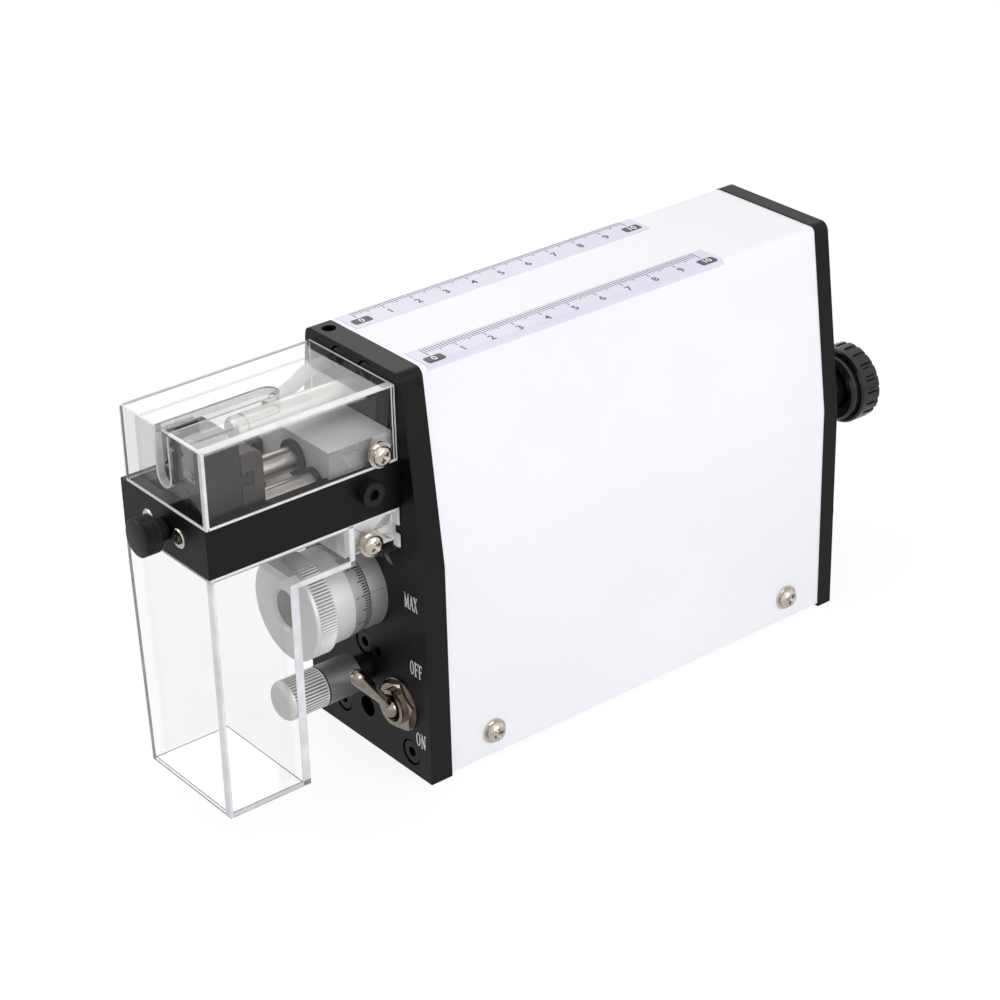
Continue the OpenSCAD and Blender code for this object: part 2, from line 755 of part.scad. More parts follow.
// five socket screws in the counterbores of the front plate
module front_plate_screws() {
  color([0.10, 0.10, 0.11]) from_front() {
    translate([0, cap_head_h + 0.3, 0]) {
      translate([base_screw_x, 0, base_screw_z]) cap_screw_y(plate_screw_len);
      translate([left_screw_x, 0, left_screw_z]) cap_screw_y(plate_screw_len);
      translate([mid_screw_x, 0, mid_screw_z]) cap_screw_y(front_t - cap_head_h - 0.5);
      translate([top_screw_mid + top_screw_x, 0, top_screw_z]) cap_screw_y(12);
      translate([top_screw_mid - top_screw_x, 0, top_screw_z]) cap_screw_y(12);
    }
  }
}

// ---- head

right_screw_len = 6;
left_screw_len = 14;
guide_screw_x = 11.8;
guide_screw_z = frame_z - 6.1;
air_x = 12.6;
air_z = wire_z + 2.6;
air_tube_d = 4.0;

// light guide block on the front plate, waisted between the arms of the frame
module guide_block() {
  side = cover_w / 2 - cover_t;
  color([0.66, 0.67, 0.67]) from_front() difference() {
    union() {
      block(-side, side, -guide_out, 0, frame_top_z, guide_top_z);
      block(-frame_inner, frame_inner, -guide_out, 0, frame_z, frame_top_z);
      block(-bin_left + bin_t, frame_right - bin_t, -bin_shelf_out, 0, bin_shelf_z + 1.5,
        frame_z);
    }
    translate([wire_x, 0, shaft_z]) {
      rod_y(bush_d, -guide_out - 1, -guide_out + 9);
      rod_y(shaft_d + 1.0, -guide_out - 1, 1);
    }
    translate([guide_shaft_x, 0, guide_shaft_z]) {
      rod_y(guide_bush_d, -guide_out - 1, -guide_out + 9);
      rod_y(guide_shaft_d + 0.8, -guide_out - 1, 1);
    }
    at_clear_screws() rod_x(pan_screw_d, -9, 4);
    translate([frame_right, -frame_screw_out, frame_screw_z])
      rod_x(cap_screw_d, -right_screw_len, 1);
    translate([-frame_left, -frame_screw_out, frame_screw_z])
      rod_x(cap_screw_d, -1, left_screw_len);
    for (s = [-1, 1]) translate([s * guide_screw_x, 0, guide_screw_z])
      rod_y(cap_screw_d, -8, 1);
  }
}

// two socket screws that hold the guide block from inside
module guide_block_screws() {
  color([0.10, 0.10, 0.11]) from_front() for (s = [-1, 1])
    translate([s * guide_screw_x, cap_seat, guide_screw_z])
      mirror([0, 1, 0]) cap_screw_y(10);
}

// two bushings with a lip
module shaft_bushings() {
  color([0.14, 0.13, 0.13]) from_front() {
    translate([wire_x, 0, shaft_z]) difference() {
      rod_y(bush_d, -guide_out - bush_lip, -guide_out + 9);
      rod_y(shaft_d + 2 * shaft_clear, -guide_out - bush_lip - 1, -guide_out + 10);
    }
    translate([guide_shaft_x, 0, guide_shaft_z]) difference() {
      rod_y(guide_bush_d, -guide_out - bush_lip, -guide_out + 9);
      rod_y(guide_shaft_d + 2 * shaft_clear, -guide_out - bush_lip - 1, -guide_out + 10);
    }
  }
}

// calls its children on the outer faces of the frame arms, pointing outward
module at_frame_screws() {
  translate([frame_right, -frame_screw_out, frame_screw_z]) children();
  translate([-frame_left, -frame_screw_out, frame_screw_z]) mirror([1, 0, 0]) children();
}

// black U-shaped frame
module head_frame() {
  color([0.08, 0.08, 0.09]) from_front() difference() {
    block(-frame_left, frame_right, -frame_out, 0, frame_z, frame_top_z);
    block(-frame_inner, frame_inner, -frame_out + frame_front_t, 1,
      frame_z - 1, frame_top_z + 1);
    at_frame_screws() rod_x(cap_screw_d + 0.3, -8, 1);
    translate([-thumb_left, 0, thumb_z])
      rod_y(thumb_screw_d + 2 * thumb_clear, -frame_out - 1, -frame_out + frame_front_t + 1);
    for (s = [-1, 1]) translate([-thumb_left + s * set_screw_x, 0, thumb_z])
      rod_y(set_screw_d, -frame_out - 1, -frame_out + frame_front_t + 1);
  }
}

// two socket screws in the arms of the frame
module frame_screws() {
  color([0.10, 0.10, 0.11]) from_front() {
    translate([frame_right, -frame_screw_out, frame_screw_z]) cap_screw_x(right_screw_len);
    translate([-frame_left, -frame_screw_out, frame_screw_z]) mirror([1, 0, 0])
      cap_screw_x(left_screw_len);
  }
}

// two silver set screws in the front wall of the frame
module frame_set_screws() {
  color([0.75, 0.75, 0.74]) from_front() for (s = [-1, 1])
    translate([-thumb_left + s * set_screw_x, 0, thumb_z]) difference() {
      union() {
        cone_y(set_screw_d - 0.6, set_screw_d, -frame_out - set_screw_out,
          -frame_out - set_screw_out + 0.3);
        rod_y(set_screw_d, -frame_out - set_screw_out + 0.3, -frame_out + frame_front_t - 0.2);
      }
      hex_y(3.0, -frame_out - 1, -frame_out + 1.8);
    }
}

// black knurled thumb screw
module thumb_screw() {
  y0 = -frame_out - thumb_gap - thumb_len;
  color([0.07, 0.07, 0.08]) from_front() translate([-thumb_left, 0, thumb_z]) {
    cone_y(thumb_d - 0.8, thumb_d, y0, y0 + 0.4);
    rod_y(thumb_d, y0 + 0.4, y0 + thumb_len - 0.4);
    cone_y(thumb_d, thumb_d - 0.8, y0 + thumb_len - 0.4, y0 + thumb_len);
    rod_y(thumb_neck_d, y0 + thumb_len - 0.1, -frame_out - jaw_gap);
    rod_y(thumb_screw_d, y0 + thumb_len - 0.1, -frame_out + frame_front_t - 0.1);
  }
}

// calls its children on the outer faces of the clear parts, pointing outward
module at_clear_screws() {
  translate([cover_w / 2, -cover_screw_out, cover_screw_z]) children();
  translate([-cover_w / 2, -cover_screw_out, cover_screw_z]) mirror([1, 0, 0]) children();
  translate([frame_right, -bin_screw_out, bin_screw_z]) children();
  translate([-bin_left, -bin_screw_out, bin_screw_z]) mirror([1, 0, 0]) children();
}

// clear cover over the jaws, open below and behind, with a slot for the wire
module clear_cover() {
  w = cover_w / 2;
  color([0.90, 0.93, 0.96, 0.35]) from_front() difference() {
    block(-w, w, -cover_out, -0.3, frame_top_z, cover_top_z);
    block(-w + cover_t, w - cover_t, -cover_out + cover_t, 1,
      frame_top_z - 1, cover_top_z - cover_t);
    translate([wire_x, 0, slot_z + slot_w / 2])
      rod_y(slot_w, -cover_out - 1, -cover_out + cover_t + 0.5);
    block(wire_x - slot_w / 2, wire_x + slot_w / 2, -cover_out - 1,
      -cover_out + cover_t + 0.5, slot_z + slot_w / 2, cover_top_z + 1);
    block(wire_x - slot_w / 2, wire_x + slot_w / 2, -cover_out - 1,
      -slot_rear_out - slot_w / 2, cover_top_z - cover_t - 0.5, cover_top_z + 1);
    translate([wire_x, -slot_rear_out - slot_w / 2, cover_top_z - cover_t - 0.5])
      cylinder(d = slot_w, h = cover_t + 2);
    at_clear_screws() rod_x(pan_screw_d + 0.3, -cover_t - 1, 1);
  }
}

// deep part of the bin, wider above on the left, drawn in by a wall on every side
module bin_well(wall, top_z) {
  z0 = bin_z + wall;
  lean = (bin_left - bin_left_low) / (bin_shelf_z - bin_z);
  translate([0, -bin_back_out - wall, 0]) rotate([90, 0, 0])
    linear_extrude(height = bin_out - bin_back_out - 2 * wall) polygon([
      [-bin_left_low - lean * wall + wall, z0], [frame_right - wall, z0],
      [frame_right - wall, top_z], [-bin_left + wall, top_z],
      [-bin_left + wall, bin_shelf_z]]);
}

// clear waste bin with a shallow part behind and two flanges with a pointed tab
module waste_bin() {
  l = bin_left;
  w = frame_right;
  i = frame_right - bin_t;
  color([0.90, 0.93, 0.96, 0.35]) from_front() difference() {
    union() {
      bin_well(0, frame_z);
      block(-l, w, -bin_out, -bin_shelf_out, bin_shelf_z, frame_z);
      block(-l, w, -bin_shelf_out - 1, -0.3, bin_shelf_z, frame_z);
      for (x = [-l, i]) translate([x, 0, 0]) rotate([90, 0, 90])
        linear_extrude(height = bin_t) polygon([[-7.8, bin_shelf_z + 0.5],
          [-7.8, bin_shelf_z], [-3.2, bin_shelf_z - pointer_len], [-4.9, bin_shelf_z],
          [-4.9, bin_shelf_z + 0.5]]);
    }
    bin_well(bin_t, frame_z + 1);
    block(-l + bin_t, i, -bin_back_out - bin_t - 1, -bin_shelf_out - bin_t,
      bin_shelf_z + bin_t, frame_z + 1);
    block(-l + bin_t, i, -bin_shelf_out, 1, bin_shelf_z - 1, frame_z + 1);
    block(-l - 1, w + 1, -2.3, 1, bin_screw_z - 0.9, bin_screw_z + 2);
    at_clear_screws() rod_x(pan_screw_d + 0.3, -bin_t - 1, 1);
  }
}

// four pan head screws of the cover and the bin
module clear_part_screws() {
  color([0.72, 0.70, 0.66]) from_front() at_clear_screws()
    translate([washer_t, 0, 0]) pan_screw(pan_screw_len);
}

// four washers of the cover and the bin
module clear_part_washers() {
  color([0.74, 0.72, 0.68]) from_front() at_clear_screws() washer_x();
}

// the line of the air tube: from the plate, then down toward the blades
air_bend = [-9.0, -13.0, wire_z + 1.6];
air_tip = [-5.0, -25.6, wire_z + 0.4];

// a round bar between two points
module bar(d, a, b) {
  v = b - a;
  len = norm(v);
  translate(a) rotate([0, acos(v[2] / len), atan2(v[1], v[0])]) cylinder(d = d, h = len);
}

// milky air tube that blows the scrap away
module air_tube() {
  color([0.85, 0.85, 0.82]) from_front() {
    bar(air_tube_d, [-air_x, front_t, air_z], [-air_x, -3, air_z]);
    translate([-air_x, -3, air_z]) sphere(d = air_tube_d + 0.2);
    bar(air_tube_d, [-air_x, -3, air_z], air_bend);
    translate(air_bend) sphere(d = air_tube_d + 0.2);
    bar(air_tube_d, air_bend, air_bend + (air_tip - air_bend) * 0.7);
  }
}

// metal nozzle at the end of the air tube
module air_nozzle() {
  color([0.72, 0.72, 0.70]) from_front() difference() {
    bar(3.0, air_bend + (air_tip - air_bend) * 0.7, air_tip);
    bar(1.2, air_bend + (air_tip - air_bend) * 0.75, air_tip + (air_tip - air_bend) * 0.1);
  }
}

// ---- switch

// body of the switch with its threaded bush
module switch_body() {
  color([0.60, 0.58, 0.54]) from_front() translate([switch_x, 0, switch_z]) difference() {
    union() {
      rod_y(switch_bush_d, -switch_bush_out, front_t);
      rod_y(switch_bush_d + 1.2, front_t, front_t + switch_body_len);
    }
    cone_y(8.6, 7.0, -switch_bush_out - 0.1, -1.4);
    rod_y(7.0, -2.0, 1.2);
  }
}

// flat washer under the switch nut
module switch_washer() {
  color([0.66, 0.63, 0.57]) from_front() translate([switch_x, 0, switch_z]) difference() {
    rod_y(switch_washer_d, -switch_washer_t, 0);
    rod_y(switch_bush_d, -switch_washer_t - 1, 1);
  }
}

// hexagon nut of the switch
module switch_nut() {
  y0 = -switch_washer_t - switch_nut_t;
  color([0.74, 0.71, 0.64]) from_front() translate([switch_x, 0, switch_z]) difference() {
    intersection() {
      rotate([0, switch_nut_turn, 0]) hex_y(switch_nut_w, y0, -switch_washer_t);
      union() {
        cone_y(switch_nut_w + 0.2, switch_nut_w + 2.4, y0, y0 + 0.65);
        rod_y(switch_nut_w + 2.4, y0 + 0.65, 0);
      }
    }
    rod_y(switch_bush_d, y0 - 1, 1);
  }
}

switch_pin_d = 1.6;
switch_pin_half = 3.6;

// bat-shaped lever of the switch with its cross pin, pointing up in the off position
module switch_lever() {
  color([0.70, 0.66, 0.62]) from_front() translate([switch_x, -switch_bush_out + 0.6, switch_z]) {
    sphere(d = switch_ball_d);
    rod_x(switch_pin_d, -switch_pin_half, switch_pin_half);
    rotate([90 - switch_lean, 0, 0]) {
      cylinder(d1 = switch_neck_d, d2 = switch_tip_d, h = switch_lever_len);
      translate([0, 0, switch_lever_len]) sphere(d = switch_tip_d);
    }
  }
}

// ---- dials

dial_spigot_d = 14.0;
fine_spigot_d = 6.4;
stop_pin_x = -dial_x - 7.7;
stop_pin_z = dial_z - 6.1;

// fixed barrel of the depth dial with its spigot in the plate
module dial_barrel() {
  color([0.60, 0.60, 0.60]) from_front() translate([-dial_x, 0, dial_z]) difference() {
    union() {
      rod_y(dial_d, -dial_barrel_len, 0);
      rod_y(dial_spigot_d, -0.1, front_t);
    }
    rod_y(dial_screw_d + 0.1, -dial_barrel_len - 1, front_t + 1);
  }
}

// thimble of the depth dial
module dial_thimble() {
  y0 = -dial_out;
  y1 = y0 + dial_ring_len;
  y2 = y1 + dial_knurl_len;
  color([0.72, 0.72, 0.71]) from_front() translate([-dial_x, 0, dial_z]) difference() {
    union() {
      cone_y(dial_rim_d - 1.2, dial_rim_d, y0, y0 + 0.6);
      rod_y(dial_rim_d, y0 + 0.6, y2 - 0.5);
      cone_y(dial_rim_d, dial_rim_d - 1, y2 - 0.5, y2);
      rod_y(dial_sleeve_d, y2 - 0.1, dial_back - dial_bevel_len);
      cone_y(dial_sleeve_d, dial_d, dial_back - dial_bevel_len, dial_back);
    }
    rod_y(dial_hollow_d, y0 - 1, y0 + dial_hollow_depth);
    rod_y(dial_screw_d, y0 + 3, dial_back + 1);
  }
}

// screw of the depth dial
module dial_screw() {
  color([0.68, 0.68, 0.68]) from_front() translate([-dial_x, 0, dial_z])
    rod_y(dial_screw_d, -dial_out + 3, dial_screw_end);
}

// block that the depth screw moves
module depth_stop() {
  color([0.70, 0.62, 0.38]) from_front() difference() {
    block(-dial_x - 10.4, -dial_x + 8, stop_y, stop_y + stop_t, dial_z - stop_half_h - 0.4,
      dial_z + stop_half_h - 0.4);
    translate([-dial_x, 0, dial_z]) rod_y(dial_screw_d + 0.1, stop_y - 1, stop_y + stop_t + 1);
    translate([stop_pin_x, 0, stop_pin_z]) rod_y(stop_pin_d + 0.1, stop_y - 1, stop_y + stop_t + 1);
  }
}

// pin that keeps the depth stop from turning
module depth_stop_pin() {
  color([0.76, 0.76, 0.76]) from_front() translate([stop_pin_x, 0, stop_pin_z])
    rod_y(stop_pin_d, front_t - 4, stop_pin_end);
}

// smooth barrel of the fine dial
module fine_barrel() {
  color([0.42, 0.43, 0.43]) from_front() translate([-dial_x, 0, fine_z]) difference() {
    rod_y(fine_d, fine_back + dial_gap, -fine_nut_len);
    rod_y(fine_screw_d + 0.1, -fine_out, 1);
  }
}

// black nut between the fine barrel and the plate, with its spigot
module fine_nut() {
  color([0.08, 0.08, 0.09]) from_front() translate([-dial_x, 0, fine_z]) difference() {
    union() {
      rod_y(fine_nut_d, -fine_nut_len, 0);
      rod_y(fine_spigot_d, -0.1, front_t);
    }
    rod_y(fine_screw_d + 0.1, -fine_nut_len - 1, front_t + 1);
  }
}

// knurled knob of the fine dial with its domed cap
module fine_knob() {
  color([0.55, 0.56, 0.56]) from_front() translate([-dial_x, 0, fine_z]) difference() {
    union() {
      cone_y(fine_d - 2.2, fine_d, -fine_out, -fine_out + 1.1);
      rod_y(fine_d, -fine_out + 1.1, fine_back);
    }
    rod_y(fine_screw_d, -fine_out + 4, fine_back + 1);
  }
}

// screw of the fine dial
module fine_screw() {
  color([0.68, 0.68, 0.68]) from_front() translate([-dial_x, 0, fine_z])
    rod_y(fine_screw_d, -fine_out + 4, front_t + 18);
}

// ---- carriage

tee_z = wire_z - tee_below;
tee_neck_h = 2.6;
tee_head_h = 4.0;
tee_neck_depth = 1.5;
tee_depth = 3.5;

// dark carrier block: shafts behind, a tee slot for the jaws in front
module carrier_block() {
  color([0.26, 0.25, 0.25]) from_front() difference() {
    union() {
      block(wire_x - carrier_half_w, wire_x + carrier_half_w, -carrier_out, carrier_back,
        carrier_bottom_z, carrier_top_z - 2.5);
      block(wire_x - carrier_half_w, wire_x + carrier_half_w, -carrier_out,
        carrier_back - 2.5, carrier_bottom_z, carrier_top_z);
      translate([0, carrier_back - 2.5, carrier_top_z - 2.5])
        rod_x(5.0, wire_x - carrier_half_w, wire_x + carrier_half_w);
    }
    block(wire_x - trigger_d / 2 - 0.4, wire_x + trigger_d / 2 + 0.4, -carrier_out - 1,
      carrier_back + 3, wire_z - trigger_d / 2 - 0.5, carrier_top_z + 3);
    block(-30, 30, -carrier_out - 1, -carrier_out + tee_neck_depth + 0.1,
      tee_z - tee_neck_h / 2, tee_z + tee_neck_h / 2);
    block(-30, 30, -carrier_out + tee_neck_depth, -carrier_out + tee_depth,
      tee_z - tee_head_h / 2, tee_z + tee_head_h / 2);
    translate([wire_x, 0, shaft_z]) {
      rod_y(shaft_d, carrier_back - 4, carrier_back + 1);
      rod_y(closing_rod_d + 2 * shaft_clear, -carrier_out - 1, carrier_back + 1);
    }
    translate([guide_shaft_x, 0, guide_shaft_z])
      rod_y(guide_shaft_d, carrier_back - 4, carrier_back + 1);
  }
}

// hollow pull shaft
module pull_shaft() {
  color([0.76, 0.76, 0.75]) from_front() translate([wire_x, 0, shaft_z]) difference() {
    rod_y(shaft_d, carrier_back - 4, closing_y);
    rod_y(closing_rod_d + 2 * shaft_clear, carrier_back - 5, closing_y + 1);
  }
}

// lower guide shaft
module guide_shaft() {
  color([0.78, 0.78, 0.77]) from_front() translate([guide_shaft_x, 0, guide_shaft_z])
    rod_y(guide_shaft_d, carrier_back - 4, closing_y);
}

// plate inside the housing that joins both shafts, the closing cylinder and the pull rod
module crosshead() {
  color([0.64, 0.65, 0.66]) from_front() difference() {
    block(-pull_rod_d - 1, guide_shaft_x + 5.5, cross_y, cross_y + cross_t, stroke_z - 8.7,
      shaft_z + 7.4);
    translate([wire_x, 0, shaft_z]) rod_y(shaft_d, cross_y - 1, cross_y + cross_t + 1);
    translate([guide_shaft_x, 0, guide_shaft_z])
      rod_y(guide_shaft_d, cross_y - 1, cross_y + cross_t + 1);
    translate([0, 0, stroke_z]) rod_y(pull_rod_d, cross_y - 1, cross_y + cross_t + 1);
  }
}

// closing cylinder, rides on the crosshead
module closing_cylinder() {
  color([0.70, 0.71, 0.72]) from_front() translate([wire_x, 0, shaft_z]) difference() {
    rod_y(closing_cyl_d, closing_y, closing_y + closing_len);
    rod_y(closing_bore_d, closing_y + 4, closing_y + closing_len - 4);
    rod_y(closing_rod_d + 2 * shaft_clear, closing_y - 1, closing_y + 5);
  }
}

// rod of the pull cylinder
module pull_rod() {
  color([0.78, 0.78, 0.77]) from_front() translate([0, 0, stroke_z])
    rod_y(pull_rod_d, cross_y, pull_y + pull_piston_gap + pull_piston_t);
}

// piston of the pull cylinder
module pull_piston() {
  y0 = pull_y + pull_piston_gap;
  y1 = y0 + pull_piston_t;
  color([0.20, 0.20, 0.21]) from_front() translate([0, 0, stroke_z]) difference() {
    rod_y(pull_bore_d - 2 * piston_clear, y0, y1);
    rod_y(pull_rod_d, y0 - 1, y1 + 1);
  }
}

// rod that runs through the pull shaft and works the closing cam
module closing_rod() {
  color([0.74, 0.74, 0.74]) from_front() translate([wire_x, 0, shaft_z])
    rod_y(closing_rod_d, cam_out + 1, closing_y + closing_piston_gap + closing_piston_t);
}

// piston of the closing cylinder
module closing_piston() {
  y0 = closing_y + closing_piston_gap;
  y1 = y0 + closing_piston_t;
  color([0.20, 0.20, 0.21]) from_front() translate([wire_x, 0, shaft_z]) difference() {
    rod_y(closing_bore_d - 2 * piston_clear, y0, y1);
    rod_y(closing_rod_d, y0 - 1, y1 + 1);
  }
}

cam_out = -jaw_out + 0.8;
cam_z = wire_z - cam_below;
cam_pin_y = -jaw_out + 6;

// a slanted slot of the cam, seen from above, that starts under a jaw pin
module cam_slot(x, side) {
  d = jaw_pin_d + 0.3;
  run = norm([jaw_travel, closing_travel]);
  translate([x, cam_pin_y, cam_z - 1]) rotate([0, 0, side * atan(jaw_travel / closing_travel)])
    translate([0, -run, 0]) {
      cylinder(d = d, h = cam_t + 2);
      translate([0, run, 0]) cylinder(d = d, h = cam_t + 2);
      translate([-d / 2, 0, 0]) cube([d, run, cam_t + 2]);
    }
}

// cam plate with two slanted slots that draw the jaws together
module closing_cam() {
  color([0.45, 0.44, 0.43]) from_front() difference() {
    union() {
      block(wire_x - 9.2, wire_x + 12.6, cam_out, cam_out + cam_len, cam_z, cam_z + cam_t);
      block(wire_x - 3, wire_x + 3, cam_out, cam_out + 5, cam_z + cam_t - 0.1, shaft_z + 3);
    }
    translate([wire_x, 0, shaft_z]) rod_y(closing_rod_d, cam_out + 1, cam_out + 6);
    cam_slot(wire_x + cam_pin_right, -1);
    cam_slot(wire_x - cam_pin_left, 1);
  }
}

// a jaw on the +X side of the wire line, with its tee, its pin and its pockets
module jaw(w, pin) {
  difference() {
    union() {
      block(jaw_open, jaw_open + w, -jaw_out, jaw_back, jaw_bottom_z, jaw_top_z);
      block(jaw_open, jaw_open + w, jaw_back - 0.1, -carrier_out + tee_neck_depth + jaw_gap,
        tee_z - tee_neck_h / 2 + jaw_gap, tee_z + tee_neck_h / 2 - jaw_gap);
      block(jaw_open, jaw_open + w, -carrier_out + tee_neck_depth + jaw_gap,
        -carrier_out + tee_depth - jaw_gap,
        tee_z - tee_head_h / 2 + jaw_gap, tee_z + tee_head_h / 2 - jaw_gap);
      translate([pin, cam_pin_y, cam_z + 0.6])
        cylinder(d = jaw_pin_d, h = jaw_bottom_z - cam_z + 3);
    }
    block(-1, jaw_travel + 3.5, -jaw_out - 1, jaw_back + 1, jaw_bottom_z - 1, shaft_z + 4.2);
    block(-1, jaw_travel + 4.1, -trigger_out - strip_travel - 0.8, jaw_back + 1,
      wire_z - 4.2, jaw_top_z + 1);
    block(-1, jaw_open + 6, -jaw_out - 1, -jaw_out + blade_t, wire_z - 7.2, jaw_top_z + 1);
    translate([jaw_open + 4.2, 0, wire_z - 4.6]) rod_y(2.0, -jaw_out, -jaw_out + 5);
  }
}

// dark right jaw
module jaw_right() {
  color([0.22, 0.22, 0.23]) from_front() translate([wire_x, 0, 0])
    jaw(jaw_right_w, cam_pin_right);
}

// dark left jaw
module jaw_left() {
  color([0.22, 0.22, 0.23]) from_front() translate([wire_x, 0, 0]) mirror([1, 0, 0])
    jaw(jaw_left_w, cam_pin_left);
}

// a blade on the +X side of the wire line, with a notch for the wire
module blade() {
  x0 = jaw_open;
  difference() {
    translate([0, -jaw_out + blade_t, 0]) rotate([90, 0, 0]) linear_extrude(height = blade_t)
      polygon([[x0, wire_z - 7.2], [jaw_open + 6, wire_z - 7.2], [jaw_open + 6, jaw_top_z],
        [x0, jaw_top_z], [x0, wire_z + blade_notch], [x0 + blade_notch, wire_z],
        [x0, wire_z - blade_notch]]);
    translate([jaw_open + 4.2, 0, wire_z - 4.6]) rod_y(2.1, -jaw_out - 1, -jaw_out + blade_t + 1);
  }
}

// right blade
module blade_right() {
  color([0.62, 0.63, 0.65]) from_front() translate([wire_x, 0, 0]) blade();
}

// left blade
module blade_left() {
  color([0.62, 0.63, 0.65]) from_front() translate([wire_x, 0, 0]) mirror([1, 0, 0]) blade();
}

// a flat head screw that holds a blade
module blade_screw() {
  translate([jaw_open + 4.2, 0, wire_z - 4.6]) difference() {
    union() {
      rod_y(blade_screw_d, -jaw_out - 0.9, -jaw_out);
      rod_y(2.0, -jaw_out - 0.1, -jaw_out + 5);
    }
    block(-3, 3, -jaw_out - 2, -jaw_out - 0.5, -0.3, 0.3);
  }
}

// screw of the right blade
module blade_screw_right() {
  color([0.55, 0.55, 0.55]) from_front() translate([wire_x, 0, 0]) blade_screw();
}

// screw of the left blade
module blade_screw_left() {
  color([0.55, 0.55, 0.55]) from_front() translate([wire_x, 0, 0])
    mirror([1, 0, 0]) blade_screw();
}

// ---- trigger

// silver rod with a groove, pushed back by the end of the wire
module trigger_rod() {
  color([0.74, 0.74, 0.72]) from_front() translate([wire_x, 0, wire_z]) difference() {
    union() {
      cone_y(trigger_d - 1.6, trigger_d, -trigger_out, -trigger_out + 0.8);
      rod_y(trigger_d, -trigger_out + 0.8, front_t + 14);
    }
    difference() {
      rod_y(trigger_d + 2, -trigger_out + 3.2, -trigger_out + 4.2);
      rod_y(trigger_d - 0.8, -trigger_out + 3, -trigger_out + 5);
    }
  }
}

// block inside the housing that guides the trigger rod
module trigger_block() {
  color([0.30, 0.31, 0.33]) from_front() difference() {
    block(top_screw_mid - trigger_block_half_w, top_screw_mid + trigger_block_half_w, front_t,
      front_t + trigger_block_len, wire_z - 5.8, case_height - sheet_inset - sheet_t - 0.3);
    translate([wire_x, 0, wire_z])
      rod_y(trigger_d + 2 * trigger_clear, 0, front_t + trigger_block_len + 1);
    for (s = [-1, 1]) translate([top_screw_mid + s * top_screw_x, 0, top_screw_z])
      rod_y(cap_screw_d, 0, front_t + 10);
  }
}

// ---- rear

// pull cylinder on the rear plate
module pull_cylinder() {
  y1 = inside_len;
  color([0.70, 0.71, 0.72]) from_front() difference() {
    translate([0, 0, stroke_z]) rod_y(pull_cyl_d, pull_y, y1);
    translate([0, 0, stroke_z]) rod_y(pull_bore_d, pull_y + 6, y1 - 12);
    translate([0, 0, stroke_z]) rod_y(pull_rod_d + 0.1, pull_y - 1, pull_y + 7);
    translate([0, 0, stroke_z]) rod_y(stroke_screw_d + 2 * stroke_clear, y1 - 13, y1 + 1);
    for (s = [-1, 1]) for (t = [-1, 1])
      translate([s * rear_screw_x, 0, stroke_z + t * rear_screw_dz])
        rod_y(cap_screw_d, y1 - 9, y1 + 1);
  }
}

// valve block on the base plate
module valve_block() {
  color([0.55, 0.56, 0.58]) from_front() difference() {
    block(-valve_half_w, valve_half_w, valve_rear - valve_len, valve_rear, base_h, valve_top);
    translate([inlet_x, 0, inlet_z]) rod_y(port_d, valve_rear - port_depth, valve_rear + 1);
    translate([-inlet_x, 0, inlet_z]) rod_y(port_d, valve_rear - port_depth, valve_rear + 1);
  }
}

// fluted black knob at the rear
module stroke_knob() {
  y1 = rear_y + knob_out;
  y0 = y1 - knob_rim_len;
  color([0.08, 0.08, 0.08]) translate([0, 0, stroke_z]) difference() {
    union() {
      cone_y(knob_d - 1.2, knob_d, y0, y0 + 0.6);
      rod_y(knob_d, y0 + 0.6, y1 - 0.8);
      cone_y(knob_d, knob_d - 1.6, y1 - 0.8, y1);
      cone_y(knob_hub_d - 1.6, knob_hub_d, y0 - knob_hub_len, y0 - knob_hub_len + 0.8);
      rod_y(knob_hub_d, y0 - knob_hub_len + 0.8, y0 + 0.1);
      rod_y(knob_sleeve_d, y0 - knob_hub_len - 1.9, y0 + 1);
    }
    for (i = [0 : knob_flutes - 1]) rotate([0, (i - 0.36) * 360 / knob_flutes, 0])
      translate([knob_d / 2 - 0.2, 0, 0]) {
        rod_y(knob_flute_w, y0 + knob_flute_in + knob_flute_w / 2, y1 + 1);
        translate([0, y0 + knob_flute_in + knob_flute_w / 2, 0]) sphere(d = knob_flute_w);
      }
    difference() {
      rod_y(knob_hub_d - 4.6, y0 - knob_hub_len - 1, y0 + 0.6);
      rod_y(knob_sleeve_d, y0 - knob_hub_len - 2, y0 + 2);
    }
    rod_y(stroke_screw_d, y0 - knob_hub_len - 4, y1 - 2);
  }
}

// screw of the stroke knob
module stroke_screw() {
  color([0.30, 0.30, 0.31]) translate([0, 0, stroke_z])
    rod_y(stroke_screw_d, front_y + stroke_tip_y, rear_y + knob_out - 2);
}

// lock ring on the stroke screw
module lock_ring() {
  color([0.12, 0.12, 0.12]) translate([0, 0, stroke_z]) difference() {
    rod_y(lock_ring_d, rear_y + 8, rear_y + 8 + lock_ring_t);
    rod_y(stroke_screw_d, rear_y, rear_y + 8 + lock_ring_t + 1);
  }
}

// push-in air inlet with its bore
module air_inlet() {
  y0 = front_y + valve_rear - port_depth;
  color([0.80, 0.66, 0.36]) translate([inlet_x, 0, inlet_z]) difference() {
    union() {
      rod_y(port_d, y0, rear_y + 1);
      rod_y(12.6, rear_y, rear_y + 9);
    }
    rod_y(inlet_bore_d, rear_y - 11, rear_y + 10);
    rod_y(4, y0 - 2, rear_y);
  }
}

// sintered silencer of the exhaust
module silencer() {
  y0 = front_y + valve_rear - port_depth;
  color([0.70, 0.52, 0.30]) translate([-inlet_x, 0, inlet_z]) difference() {
    union() {
      rod_y(port_d, y0, rear_y + 1);
      rod_y(12, rear_y, rear_y + 3);
      rod_y(9, rear_y + 2, rear_y + 12);
    }
    rod_y(5, y0 - 2, rear_y + 9);
  }
}

